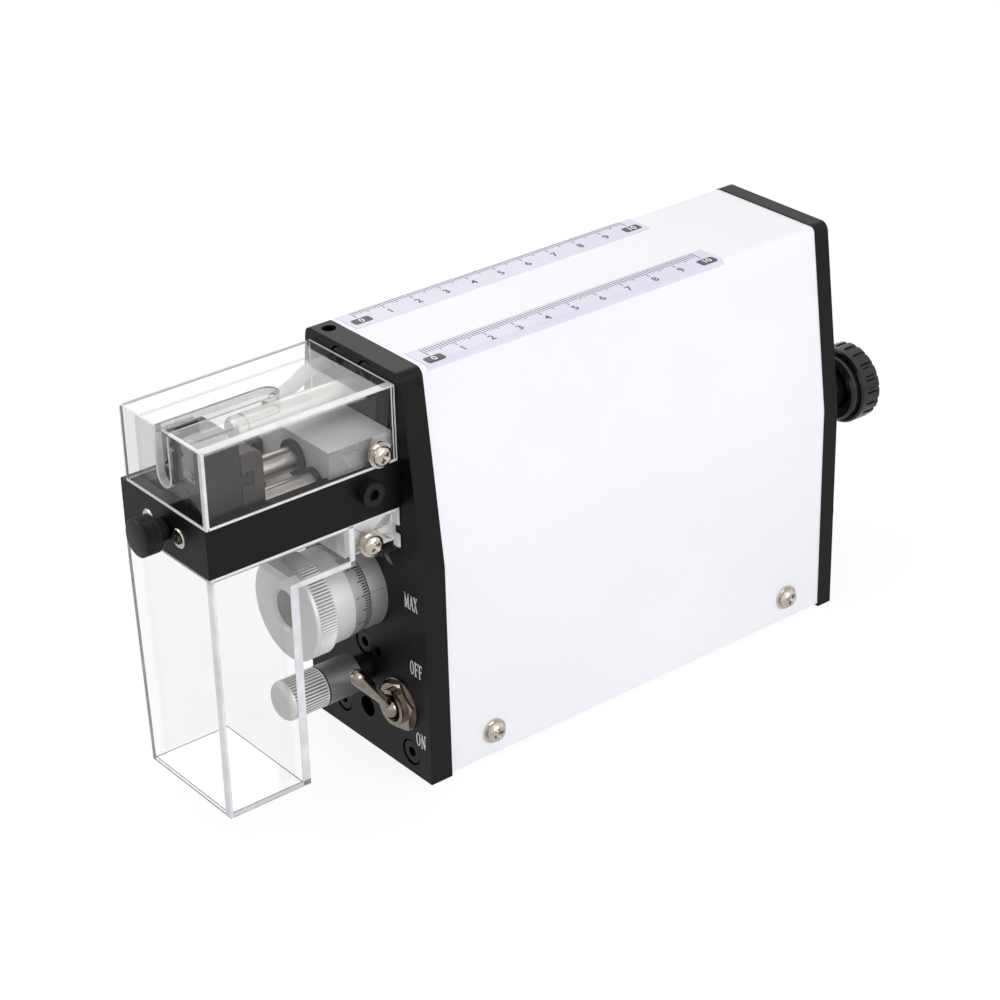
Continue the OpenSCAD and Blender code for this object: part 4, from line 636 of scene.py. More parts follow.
# %% Knob of the fine dial
FINE = (-1.7, 25.8)
FINE_START, FINE_END, FINE_R = -27.9, -17.0, 6.05
FINE_TEETH = 38
fine_profile = [
    (-30.0, 0.1), (-30.0, 4.2), (-29.85, 4.9), (-29.4, 5.5), (-28.7, 5.95), (-28.3, FINE_R),
    (-28.1, FINE_R), (FINE_START, FINE_R), (FINE_END, FINE_R), (-16.8, FINE_R), (-16.55, 5.85), (-16.5, 2.1),
]
fine_knurl = knurl(FINE_TEETH, FINE_START, FINE_END, 0.36)
fine_knob = turned("fine_knob_knurled", FINE, fine_profile, FINE_TEETH * 8, fine_knurl)
dress(fine_knob, blasted_aluminium, "fine_dial", "blasted_aluminium", "fine_knob")
# Painted shade: the walls of the grooves get the darker finish.
repaint(fine_knob, FINE, FINE_START, FINE_END, 5.85, groove_grime)
print("fine knob with", FINE_TEETH, "teeth")

# %% [markdown]
# ## The thumb screw
# The black thumb screw clamps the jaw setting. Its head has a flat turned face, a small
# chamfer at each end and a straight knurl, and stands off the frame on a thinner neck.
# Beside it sit two bright set screws. Each socket is a black disc, a painted shade, with a small nickel dome
# in its middle, a painted highlight.

# %% Knurled thumb screw
THUMB = (-1.3, 94.4)
THUMB_START, THUMB_END, THUMB_R = -70.9, -66.9, 5.5
THUMB_TEETH = 44
SET_SCREW_X = 7.3
thumb_profile = [
    (-71.5, 0.1), (-71.5, 5.1), (-71.42, 5.25), (-71.2, THUMB_R), (-71.1, THUMB_R), (THUMB_START, THUMB_R),
    (THUMB_END, THUMB_R), (-66.7, THUMB_R), (-66.5, THUMB_R), (-66.25, 5.25), (-66.2, 5.1), (-66.2, 3.25),
    (-63.1, 3.25), (-63.0, 2.5), (-58.5, 2.5), (-58.4, 2.3), (-58.4, 0.1),
]
thumb_knurl = knurl(THUMB_TEETH, THUMB_START, THUMB_END, 0.28)
thumb = turned("thumb_screw_knurled", THUMB, thumb_profile, THUMB_TEETH * 8, thumb_knurl)
dress(thumb, black_oxide, "thumb_screw", "black_oxide", "thumb_screw")
socket_profile = [(-62.65, 0.05), (-62.65, 1.45), (-61.6, 1.45), (-61.6, 0.05)]
point_profile = [(-62.8, 0.05), (-62.75, 0.6), (-62.6, 0.75), (-62.3, 0.75), (-62.3, 0.05)]
# Painted shade and highlight: a black disc for the shade in each socket, a small nickel dome for its glint.
for label, side in (("left", -1), ("right", 1)):
    centre = (THUMB[0] + side * SET_SCREW_X, THUMB[1])
    core = turned("set_screw_painted_socket_shade_" + label, centre, socket_profile, 24)
    dress(core, black_oxide, "machine", "black_oxide")
    point = turned("set_screw_painted_glint_" + label, centre, point_profile, 24)
    dress(point, worn_nickel, "machine", "nickel")
print("thumb screw and the sockets of the set screws made")

# %% [markdown]
# ## Pan head screws
# Eight nickel screws hold the housing and the clear parts. Each head is a low dome with
# a cross-shaped driver recess. The dome is turned, and the cross is cut by two tapered
# plates with a Boolean. One head is made once and then copied to each place.

# %% One domed head with its cross
def cross_head(name, steps=40):
    """A screw with a domed pan head that points along +X; its head stands on the origin."""
    profile = [
        (-9.0, 1.2), (-8.7, 1.5), (0.0, 1.5), (0.0, 3.0), (0.9, 3.0), (1.35, 2.86), (1.75, 2.45),
        (2.0, 1.8), (2.1, 1.0), (2.12, 0.2),
    ]
    points = []
    for x, r in profile:
        for a in angles(steps):
            points.append((x * MM, r * MM * math.cos(a), r * MM * math.sin(a)))
    head = mesh_piece(name, points, rings(len(profile), steps))
    for quarter in (0, 1):
        corners = []
        for x, half, thick in ((0.7, 0.9, 0.3), (2.6, 2.3, 0.62)):
            for u, v in ((-half, -thick), (half, -thick), (half, thick), (-half, thick)):
                corners.append((x * MM, (u if quarter else v) * MM, (v if quarter else u) * MM))
        cutter = mesh_piece("cross_cutter", corners, BOX_FACES, False)
        cut = head.modifiers.new("cross", "BOOLEAN")
        cut.operation = "DIFFERENCE"
        cut.object = cutter
        cut_mesh = baked(head)
        head.modifiers.clear()
        head.data = cut_mesh
        bpy.data.objects.remove(cutter)
    return head


pattern_head = cross_head("pan_head_pattern")
print("one head has", len(pattern_head.data.polygons), "faces")

# %% [markdown]
# Four heads hold the housing, two on each side, and four hold the cover and the bin. The
# washers of the CAD say how far out each group stands. Linked copies would also do, but
# one mesh for a group matches the record, where the screws of a group share a node. Each
# cross is turned a little further than the last, since nobody lines them up.

# %% Copy the head to its eight places
CROSS_STEP = 37


def heads_at(name, places, spin):
    """Joins copies of the pattern head; places hold x, depth, z and the side +1 or -1."""
    tool = bmesh.new()
    for n, (x, depth, z, side) in enumerate(places):
        before = len(tool.verts)
        tool.from_mesh(pattern_head.data)
        tool.verts.ensure_lookup_table()
        new = tool.verts[before:]
        turn_about = Matrix.Rotation(math.radians(spin + CROSS_STEP * n), 4, "X")
        flip = Matrix.Rotation(0 if side > 0 else math.pi, 4, "Z")
        move = Matrix.Translation(at(x, depth, z)) @ flip @ turn_about
        bmesh.ops.transform(tool, matrix=move, verts=new)
    mesh = bpy.data.meshes.new(name)
    tool.to_mesh(mesh)
    tool.free()
    return linked(name, mesh, SHARP_DEG)


low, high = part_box("housing_washers")
side_x = high.x / MM
SCREW_Z, SCREW_DEPTHS = 8.9, (23.3, 140.6)
housing_places = [(side * side_x, depth, SCREW_Z, side) for side in (1, -1) for depth in SCREW_DEPTHS]
housing_heads = heads_at("housing_screw_heads", housing_places, 20)
dress(housing_heads, nickel, "machine", "nickel", "housing_screws")
low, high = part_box("clear_part_washers")
right_x, left_x = high.x / MM, low.x / MM
COVER_SCREW, BIN_SCREW = (-6.3, 105.5), (-10.5, 79.5)
clear_places = [
    (right_x, *COVER_SCREW, 1), (left_x + 3.6, *COVER_SCREW, -1),
    (right_x - 0.2, *BIN_SCREW, 1), (left_x, *BIN_SCREW, -1),
]
clear_heads = heads_at("clear_part_screw_heads", clear_places, 50)
dress(clear_heads, nickel, "machine", "nickel", "clear_part_screws")
bpy.data.objects.remove(pattern_head)
print("eight screw heads placed")

# %% [markdown]
# ## The switch lever
# The lever is a turned bat: a ball in its seat, a thin neck, and a shaft that swells
# toward a round tip. It is turned about its own line and then tilted up, the off position.

# %% Bat lever
def lever_mesh(name, profile, pivot, lean, steps=40):
    """Turns a profile of (distance, radius) about a line that leans up from level."""
    direction = Vector((0, -math.cos(lean), math.sin(lean)))
    side = Vector((1, 0, 0))
    across = direction.cross(side)
    points = []
    for along, r in profile:
        for a in angles(steps):
            round_it = side * math.cos(a) + across * math.sin(a)
            points.append(pivot + direction * along * MM + round_it * r * MM)
    return mesh_piece(name, points, rings(len(profile), steps))


def arc(radius, degrees):
    """Points (along, outward) of an arc, kept a hair off the axis."""
    turns = [math.radians(a) for a in degrees]
    return [(radius * math.sin(a), radius * math.cos(a) + OFF_AXIS) for a in turns]


BALL_R, TIP_R, LEVER_LENGTH = 3, 2.35, 18.7
LEVER_PIVOT, LEVER_LEAN = at(15.5, -3.2, 21.5), math.radians(52)
ball = arc(BALL_R, range(-90, 60, 10))
shaft = [(2.62, 1.5), (3.0, 1.56), (5.0, 1.63), (8.0, 1.75), (11.0, 1.92), (14.0, 2.12), (16.5, 2.28)]
tip = [(LEVER_LENGTH + along, r) for along, r in arc(TIP_R, range(-10, 91, 10))]
lever = lever_mesh("switch_bat_lever", ball + shaft + tip, LEVER_PIVOT, LEVER_LEAN)
dress(lever, worn_nickel, "switch_lever", "nickel", "switch_lever")
highest = max(v.co.z for v in lever.data.vertices)
print("lever reaches", round(highest / MM, 1), "mm above the table")

# %% [markdown]
# ## The rulers
# Each ruler is a printed film with 101 thin lines, digits from 1 to 9 and dark
# rounded boxes with white numbers at both ends. The film wraps over the bend of the
# sheet by a millimetre or two, so it is laid along the outline of the case.

# %% Film that follows the bend
CROWN_X, FOOT_X = 21.8, 28.85
CROWN_Z, KINK_Z = 127.8, 69.2
INSET = 0.4
LEAN = math.atan((FOOT_X - CROWN_X) / (CROWN_Z - KINK_Z))
TOP_Z = CASE_TOP / MM
BEND = 1.8
CROWN = CROWN_X + INSET * math.tan(LEAN) - INSET / math.cos(LEAN)
BEND_X = CROWN + BEND * math.tan(LEAN) - BEND / math.cos(LEAN)


def on_top(s, lift):
    """A point of the case's outline, s millimetres along it from the middle of the top."""
    side = -1 if s < 0 else 1
    run = abs(s)
    if run <= BEND_X:
        return side * run, TOP_Z + lift
    around = run - BEND_X
    angle = min(around / BEND, math.pi / 2 - LEAN)
    past = around - angle * BEND
    r = BEND + lift
    x = BEND_X + r * math.sin(angle) + past * math.sin(LEAN)
    z = TOP_Z - BEND + r * math.cos(angle) - past * math.cos(LEAN)
    return side * x, z


def film(name, s0, s1, depth0, depth1, thick):
    """A strip of film between two places across the top and two depths."""
    cuts = 24
    points, faces = [], []
    for lift in (0.0, thick):
        for k in range(cuts + 1):
            x, z = on_top(s0 + (s1 - s0) * k / cuts, lift)
            points += [at(x, depth0, z), at(x, depth1, z)]
    layer = 2 * (cuts + 1)
    for k in range(cuts):
        a = 2 * k
        faces.append((a, a + 1, a + 3, a + 2))
        faces.append((layer + a, layer + a + 2, layer + a + 3, layer + a + 1))
        faces.append((a, a + 2, layer + a + 2, layer + a))
        faces.append((a + 1, layer + a + 1, layer + a + 3, a + 3))
    faces.append((0, layer, layer + 1, 1))
    e = 2 * cuts
    faces.append((e, e + 1, layer + e + 1, layer + e))
    return mesh_piece(name, points, faces)


FILM_START, FILM_END, FILM_THICK = 9.6, 118.4, 0.2
for label, s0, s1 in (("near", 11.3, 22.2), ("far", -21.9, -10.6)):
    strip = film("ruler_film_" + label, s0, s1, FILM_START, FILM_END, FILM_THICK)
    dress(strip, label_film, "machine", "label_film", "ruler_strips")
print("two films, bend starts at x =", round(BEND_X, 2), "mm")

# %% [markdown]
# The marks are drawn flat and then laid on the film. Over the bend a flat plate would
# cut through it, so the marks are first split there by a few planes. The lines are
# longest at each centimetre, shorter at each half and shortest at each millimetre.

# %% Lines, digits and boxes of the rulers
BEND_CUTS, CUT_STEP = 12, 0.2


def rounded_box(x0, y0, x1, y1, r, lift):
    """A thin plate with round corners as points and faces."""
    rim = []
    centres = ((x1 - r, y1 - r), (x0 + r, y1 - r), (x0 + r, y0 + r), (x1 - r, y0 + r))
    for quarter, (cx, cy) in enumerate(centres):
        for a in range(0, 91, 15):
            angle = math.radians(90 * quarter + a)
            rim.append((cx + r * math.cos(angle), cy + r * math.sin(angle)))
    n = len(rim)
    points = [(x, y, -0.02) for x, y in rim] + [(x, y, lift) for x, y in rim]
    faces = [tuple(range(n)), tuple(range(n, 2 * n))]
    faces += [(k, (k + 1) % n, n + (k + 1) % n, n + k) for k in range(n)]
    return points, faces


def laid_on_top(name, parts, base_lift):
    """Lays flat marks on the case's outline: flat x across, flat y along depth."""
    points, faces = joined(parts)
    piece = mesh_piece(name, points, faces, False)
    tool = bmesh.new()
    tool.from_mesh(piece.data)
    for k in range(BEND_CUTS):
        for side in (-1, 1):
            every = tool.verts[:] + tool.edges[:] + tool.faces[:]
            cut_at = (side * (BEND_X + CUT_STEP * k), 0, 0)
            bmesh.ops.bisect_plane(tool, geom=every, plane_co=cut_at, plane_no=(1, 0, 0))
    for v in tool.verts:
        x, height = on_top(v.co.x, base_lift + v.co.z)
        v.co = at(x, v.co.y, height)
    tool.to_mesh(piece.data)
    tool.free()
    return piece


ZERO_DEPTH = 14.0
CENTIMETRE, HALF, MILLIMETRE = 4.4, 3.6, 2.8
LINE_HALF = 0.14
BOX_X, BOX_Y, BOX_R, BOX_LIFT = 1.7, 3.1, 0.9, 0.03
FIGURE_SIZE, END_SIZE, END_LIFT = 3.7, 3.2, 0.22
for label, line_s, digit_s in (("near", 12.0, 18.9), ("far", -21.3, -14.2)):
    rects, figures, boxes, white = [], [], [], []
    for k in range(101):
        long = CENTIMETRE if k % 10 == 0 else HALF if k % 5 == 0 else MILLIMETRE
        middle = ZERO_DEPTH + k
        rects.append((line_s, middle - LINE_HALF, line_s + long, middle + LINE_HALF))
    for k in range(1, 10):
        figures.append(lettering(str(k), FIGURE_SIZE, 90, digit_s, ZERO_DEPTH + 10 * k, bold=0.07))
    for k in (0, 10):
        middle = ZERO_DEPTH + 10 * k
        corners = (digit_s - BOX_X, middle - BOX_Y, digit_s + BOX_X, middle + BOX_Y)
        boxes.append(rounded_box(*corners, BOX_R, BOX_LIFT))
        white.append(lettering(str(k), END_SIZE, 90, digit_s, middle, bold=0.05))
    lines = laid_on_top("ruler_lines_" + label, [plate_marks(rects)], FILM_THICK)
    dress(lines, ruler_ink, "machine", "label_film")
    dark = laid_on_top("ruler_digits_" + label, figures + boxes, FILM_THICK)
    dress(dark, dark_ink, "machine", "label_film")
    pale = laid_on_top("ruler_end_numbers_" + label, white, END_LIFT)
    dress(pale, white_fill, "machine", "label_film")
    print("ruler", label, "has", len(rects), "lines")

# %% [markdown]
# ## Engraved words on the front plate
# The switch positions and the end of the dial are engraved in a narrow serif style and
# filled with white paint. The built-in font has no serifs, so the few letters needed are
# drawn here as strokes: each is a list of straight bars, with a thickness where it isn't
# the thin 0.06 of the letter's height.

# %% A small serif alphabet drawn with bars
LETTERS = {
    "M": [
        (0.0, 0, 0.0, 1, 0.07), (0.0, 1, 0.36, 0, 0.15), (0.36, 0, 0.7, 1), (0.72, 0, 0.72, 1, 0.15),
        (-0.12, 0, 0.12, 0), (-0.12, 1, 0.1, 1), (0.58, 0, 0.88, 0),
        (0.66, 1, 0.88, 1)],
    "A": [
        (0.0, 0, 0.33, 1), (0.33, 1, 0.64, 0, 0.15), (0.12, 0.34, 0.5, 0.34),
        (-0.12, 0, 0.14, 0), (0.5, 0, 0.78, 0)],
    "X": [
        (0.04, 1, 0.6, 0, 0.15), (0.04, 0, 0.58, 1), (-0.08, 0, 0.18, 0),
        (0.44, 0, 0.74, 0), (-0.08, 1, 0.2, 1), (0.46, 1, 0.7, 1)],
    "F": [
        (0.1, 0, 0.1, 1, 0.15), (0.1, 0.97, 0.54, 0.97), (0.1, 0.52, 0.42, 0.52),
        (0.54, 0.8, 0.54, 1.0, 0.05), (0.42, 0.42, 0.42, 0.62, 0.05), (-0.06, 0, 0.28, 0),
        (-0.06, 1, 0.1, 1)],
    "N": [
        (0.06, 0, 0.06, 1), (0.04, 1, 0.62, 0, 0.15), (0.62, 0, 0.62, 1),
        (-0.06, 0, 0.2, 0), (-0.1, 1, 0.12, 1), (0.5, 1, 0.76, 1)],
}
PAINT_SPREAD = 0.035
PAINT_DEPTH, PAINT_LIFT = -0.03, 0.02


def bar(x0, y0, x1, y1, thick=0.06):
    """One straight stroke as a thin plate, with a little of the paint's spread."""
    thick += PAINT_SPREAD
    start, stop = Vector((x0, y0)), Vector((x1, y1))
    run = stop - start
    side = Vector((-run.y, run.x)).normalized() * thick / 2
    end = run.normalized() * thick * 0.1
    corners = [start - end + side, start - end - side, stop + end - side, stop + end + side]
    points = [(c.x, c.y, z) for z in (PAINT_DEPTH, PAINT_LIFT) for c in corners]
    return points, BOX_FACES


def letter_o(steps=32):
    """The letter O as an upright ring that is thick at its sides."""
    centre, outer, inner = (0.34, 0.5), (0.36, 0.52), (0.21, 0.46)
    points, faces = [], []
    for z in (PAINT_DEPTH, PAINT_LIFT):
        for a in angles(steps):
            for half_x, half_y in (outer, inner):
                points.append((centre[0] + half_x * math.cos(a), centre[1] + half_y * math.sin(a), z))
    ring = 2 * steps
    for k in range(steps):
        a, n = 2 * k, 2 * ((k + 1) % steps)
        faces += [(a, n, n + 1, a + 1), (ring + a, ring + a + 1, ring + n + 1, ring + n)]
        faces += [(a, ring + a, ring + n, n), (a + 1, n + 1, ring + n + 1, ring + a + 1)]
    return points, faces


ADVANCE = {"M": 1.08, "A": 0.88, "X": 0.9, "O": 0.92, "F": 0.78, "N": 0.9}
LETTER_GAP = 0.2


def engraved(name, word, x, z, width, height):
    """A word on the front plate, centred on x and z, in millimetres."""
    parts, pen = [], 0.0
    for letter in word:
        strokes = [letter_o()] if letter == "O" else [bar(*stroke) for stroke in LETTERS[letter]]
        points, faces = joined(strokes)
        parts.append(([(px + pen, py, pz) for px, py, pz in points], faces))
        pen += ADVANCE[letter]
    pen -= LETTER_GAP
    points, faces = joined(parts)
    placed = [at(x + (px / pen - 0.5) * width, -pz, z + (py - 0.5) * height) for px, py, pz in points]
    piece = mesh_piece(name, placed, faces, False)
    return dress(piece, white_fill, "machine", "black_anodised")


engraved("word_max", "MAX", 22.5, 57.9, 5.6, 4.4)
engraved("word_off", "OFF", 23.5, 36.4, 5.4, 4.4)
engraved("word_on", "ON", 24.4, 13.0, 4.2, 4.4)
print("three engraved words")

# %% [markdown]
# ## The air tube
# A milky tube leaves the front plate, bends and ends in a thin metal nozzle that blows
# scrap off the blades. A smooth curve through a few points gives its sag, and the curve
# becomes a tube of the true outer diameter.

# %% Smooth air tube
def between(p0, p1, p2, p3, t):
    """A point a share t of the way from p1 to p2 on a soft curve through them all."""
    slope = (p2 - p0) * t
    bend = (2 * p0 - 5 * p1 + 4 * p2 - p3) * t * t
    twist = (3 * p1 - p0 - 3 * p2 + p3) * t ** 3
    return 0.5 * (2 * p1 + slope + bend + twist)


def smooth_line(knots, per_span=10):
    """Points on a soft curve through the knots."""
    line = []
    for i in range(len(knots) - 1):
        around = [knots[min(max(j, 0), len(knots) - 1)] for j in range(i - 1, i + 3)]
        line += [between(*around, k / per_span) for k in range(per_span)]
    line.append(knots[-1])
    return line


def tube(name, line, radius, steps=20):
    """A round tube along a line of points, closed at both ends."""
    points = []
    side = Vector((0, 0, 1))
    for i, p in enumerate(line):
        ahead = (line[min(i + 1, len(line) - 1)] - line[max(i - 1, 0)]).normalized()
        across = ahead.cross(side).normalized()
        over = across.cross(ahead).normalized()
        for a in angles(steps):
            points.append(p + (across * math.cos(a) + over * math.sin(a)) * radius * MM)
    return mesh_piece(name, points, rings(len(line), steps))


TUBE_R = 2.0
AIR = [
    at(-12.6, 7.5, 119.6), at(-12.6, 2, 119.6), at(-12.6, -2.5, 119.6),
    at(-11.6, -8, 119.2), at(-9.0, -13, 118.6), at(-6.2, -21.8, 117.7),
]
air_tube = tube("air_tube_smooth", smooth_line(AIR), TUBE_R)
dress(air_tube, nylon_tube, "machine", "air_tubing", "air_tube")
print("air tube of", len(AIR), "knots")

# %% [markdown]
# ## Bright edges of the cover and the bin
# The sheets of the cover and the bin are bonded at their corners, and there the light
# that runs inside them comes out. That light is painted: each edge is a slim slab, up to
# a wall's thickness wide and slightly rounded, that follows the corner and stands a hair
# proud of the wall. Grey slabs paint shade as dark lines along other edges.
# Sheets could get a second material at these faces instead, but the band in the
# photograph also shows inside the wall, past the corner, so a solid slab is closer.

# %% Slabs along the corners of the clear parts
def edge_slabs(name, slabs, rounding, material):
    """Slim slabs (x0, x1, y0, y1, z0, z1) in millimetres; a seventh number moves the top in x."""
    tool = bmesh.new()
    for x0, x1, y0, y1, z0, z1, *lean in slabs:
        corners = [(x0, y0, z0), (x1, y0, z0), (x1, y1, z0), (x0, y1, z0)]
        corners += [(x + sum(lean), y, z1) for x, y, _ in corners]
        points = [tool.verts.new(at(*corner)) for corner in corners]
        for face in BOX_FACES:
            tool.faces.new([points[k] for k in face])
    bmesh.ops.recalc_face_normals(tool, faces=tool.faces)
    bmesh.ops.bevel(
        tool, geom=tool.edges[:], offset=rounding * MM, segments=2, affect="EDGES", profile=0.5)
    mesh = bpy.data.meshes.new(name)
    tool.to_mesh(mesh)
    tool.free()
    return dress(linked(name, mesh, 50), material, "machine", "clear_acrylic")


low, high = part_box("clear_cover")
PROUD = 0.02
HOOD_SIDE, HOOD_WALL = high.x / MM + PROUD, 2.8
HOOD_FRONT, HOOD_REAR = (low.y - FRONT) / MM - PROUD, (high.y - FRONT) / MM
HOOD_LOW, HOOD_TOP = low.z / MM, high.z / MM + PROUD
SLOT_LEFT, SLOT_RIGHT = -3.0, 4.0
cover_slabs = [
    (HOOD_SIDE - HOOD_WALL, HOOD_SIDE, HOOD_FRONT + 0.9, HOOD_REAR, HOOD_TOP - 0.55, HOOD_TOP - 0.05),
    (HOOD_SIDE - 1.5, HOOD_SIDE, HOOD_FRONT + 0.1, HOOD_FRONT + 1.2, HOOD_LOW, HOOD_TOP - 0.3),
    (HOOD_SIDE - 0.35, HOOD_SIDE, HOOD_FRONT + 0.5, HOOD_REAR, HOOD_LOW, HOOD_LOW + 0.75),
    (-HOOD_SIDE, -HOOD_SIDE + 0.3, HOOD_FRONT + 0.5, HOOD_REAR, HOOD_LOW, HOOD_LOW + 0.6),
    (-HOOD_SIDE + 0.4, HOOD_SIDE - 0.4, HOOD_FRONT, HOOD_FRONT + 0.35, HOOD_LOW, HOOD_LOW + 0.9),
    (HOOD_SIDE - 0.3, HOOD_SIDE, HOOD_REAR - 1.2, HOOD_REAR - 0.85, HOOD_LOW, HOOD_TOP),
    (HOOD_SIDE - 0.3, HOOD_SIDE, HOOD_REAR - 0.35, HOOD_REAR + 0.02, HOOD_LOW, HOOD_TOP),
    (-HOOD_SIDE, -HOOD_SIDE + 0.3, HOOD_REAR - 0.4, HOOD_REAR + 0.02, HOOD_LOW, HOOD_TOP),
    (-HOOD_SIDE + 0.5, HOOD_SIDE - 0.5, HOOD_REAR - 0.4, HOOD_REAR + 0.02, HOOD_TOP - 0.35, HOOD_TOP - 0.03),
    (SLOT_RIGHT + 0.1, HOOD_SIDE - 0.5, HOOD_FRONT + 0.3, HOOD_FRONT + 1.3, HOOD_TOP - 0.7, HOOD_TOP - 0.1),
    (-HOOD_SIDE + 0.6, SLOT_LEFT - 0.1, HOOD_FRONT + 0.4, HOOD_FRONT + 0.9, HOOD_TOP - 0.35, HOOD_TOP - 0.1),
]
# Painted light: pale slabs along the cover's corners.
edge_slabs("cover_bright_edges", cover_slabs, 0.12, acrylic_edge)
outline_slabs = [
    (-HOOD_SIDE, -HOOD_SIDE + 0.7, HOOD_FRONT + 0.9, HOOD_REAR, HOOD_TOP - 0.7, HOOD_TOP - 0.12),
    (-HOOD_SIDE, -HOOD_SIDE + 0.5, HOOD_FRONT + 0.3, HOOD_FRONT + 0.9, HOOD_LOW, HOOD_TOP - 0.6),
]
# Painted shade: grey outlines on the cover's left edges.
edge_slabs("cover_outline", outline_slabs, 0.12, sawn_edge)

low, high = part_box("waste_bin")
BIN_SIDE, BIN_FRONT = high.x / MM + PROUD, (low.y - FRONT) / MM - PROUD
BIN_LOW, BIN_TOP = low.z / MM - PROUD, high.z / MM
LEFT_TOP, LEFT_FOOT = low.x / MM - PROUD, -20.42
BACK, SHELF_BACK, SHELF, BIN_WALL = -35.0, -17.4, 74.5, 2.6
tilt = LEFT_TOP - LEFT_FOOT
bin_slabs = [
    (BIN_SIDE - BIN_WALL, BIN_SIDE, BIN_FRONT, BIN_FRONT + 0.9, BIN_LOW, BIN_TOP),
    (BIN_SIDE - 0.4, BIN_SIDE, BACK - BIN_WALL, BACK + 0.02, BIN_LOW, SHELF),
    (BIN_SIDE - 0.4, BIN_SIDE, BACK - BIN_WALL, BACK, SHELF, SHELF + 1.5),
    (LEFT_TOP + 0.3, BIN_SIDE - 0.3, BIN_FRONT + 0.02, BIN_FRONT + BIN_WALL, BIN_TOP - 1.2, BIN_TOP - 0.02),
    (BIN_SIDE - BIN_WALL, BIN_SIDE, BIN_FRONT + 1.0, -0.4, BIN_TOP - 0.9, BIN_TOP - 0.02),
    (BIN_SIDE - 0.6, BIN_SIDE, BACK, SHELF_BACK + 1.6, SHELF - 0.02, SHELF + 1.7),
    (BIN_SIDE - 0.5, BIN_SIDE, SHELF_BACK - 0.1, SHELF_BACK + 1.6, SHELF, BIN_TOP),
    (BIN_SIDE - BIN_WALL, BIN_SIDE, -1.0, -0.28, 81.5, BIN_TOP),
    (BIN_SIDE - BIN_WALL, BIN_SIDE, -1.0, -0.28, SHELF, 78.6),
    (BIN_SIDE - BIN_WALL, BIN_SIDE, -3.2, -0.6, 78.1, 78.62),
]
# Painted light: pale slabs along the bin's corners.
edge_slabs("bin_bright_edges", bin_slabs, 0.15, acrylic_edge)
# Painted shade: grey lines on the bin's left edge.
left_slabs = [
    (LEFT_FOOT, LEFT_FOOT + 1.0, BIN_FRONT, BIN_FRONT + 0.5, BIN_LOW, SHELF, tilt),
    (LEFT_TOP, LEFT_TOP + 1.0, BIN_FRONT, BIN_FRONT + 0.5, SHELF, BIN_TOP),
]
edge_slabs("bin_left_edge", left_slabs, 0.12, sawn_edge)
foot_slab = (BIN_SIDE - 0.3, BIN_SIDE, BIN_FRONT + 1.0, BACK, BIN_LOW, BIN_LOW + 1.6)
edge_slabs("bin_foot_frost", [foot_slab], 0.05, frosted_cut)
# Painted shade: thin grey lines along the bin's lower and upper edges.
thin_slabs = [
    (BIN_SIDE - 0.3, BIN_SIDE + 0.01, BIN_FRONT + 0.9, BACK, BIN_LOW, BIN_LOW + 0.22),
    (BIN_SIDE - 0.3, BIN_SIDE + 0.01, BIN_FRONT + 0.9, BACK, BIN_LOW + 1.5, BIN_LOW + 1.7),
    (LEFT_FOOT, BIN_SIDE, BIN_FRONT, BIN_FRONT + 0.3, BIN_LOW, BIN_LOW + 0.28),
    (LEFT_FOOT + 1, BIN_SIDE - 1, BIN_FRONT, BIN_FRONT + 0.3, BIN_LOW + 1.3, BIN_LOW + 1.45),
    (LEFT_FOOT, LEFT_FOOT + 0.25, BIN_FRONT, BACK - 1.5, BIN_LOW, BIN_LOW + 0.25),
    (LEFT_FOOT, BIN_SIDE, BACK - 1.75, BACK - 1.5, BIN_LOW, BIN_LOW + 0.25),
    (LEFT_TOP, BIN_SIDE, BIN_FRONT, BIN_FRONT + 0.3, BIN_TOP - 1.4, BIN_TOP - 1.15),
    (BIN_SIDE - 0.3, BIN_SIDE, BIN_FRONT, SHELF_BACK, BIN_TOP - 1.15, BIN_TOP - 0.95),
]
edge_slabs("bin_painted_dark_edge_lines", thin_slabs, 0.04, sawn_edge)
# A pale, half see-through veil on the shelf of the bin.
dust_x0, dust_x1 = LEFT_TOP + BIN_WALL + 0.1, BIN_SIDE - BIN_WALL - 0.1
dust_y0, dust_y1 = BACK - 1.0, SHELF_BACK - BIN_WALL - 0.1
dust_z = SHELF + BIN_WALL
dusty = [(dust_x0, dust_x1, dust_y0, dust_y1, dust_z, dust_z + 0.08)]
edge_slabs("bin_shelf_veil", dusty, 0.02, haze)
print("bright edges:", len(cover_slabs), "slabs on the cover and", len(bin_slabs), "on the bin")

# %% [markdown]
# The slot for the wire is sawn through the front and the top of the cover. A thin line
# runs round it on the outside, painted light at the front and a painted dark line on top.
# Its left cut face, which looks towards the camera, is frosted. Both are ribbons that
# follow the slot's path: down one side, round the foot and up the other. Sweeping a curve
# would also do; a list of points keeps every size in sight.

# %% The open slot of the cover
def slot_rim(name, path, across, thick, lift, material):
    """A thin ribbon of cut edge: path points, each with the wall's thickness across it."""
    points = []
    for p, out in path:
        for u, v in ((0, 0), (1, 0), (1, 1), (0, 1)):
            points.append(p + across * u * thick * MM + out * v * lift * MM)
    piece = mesh_piece(name, points, rings(len(path), 4))
    return dress(piece, material, "machine", "clear_acrylic")


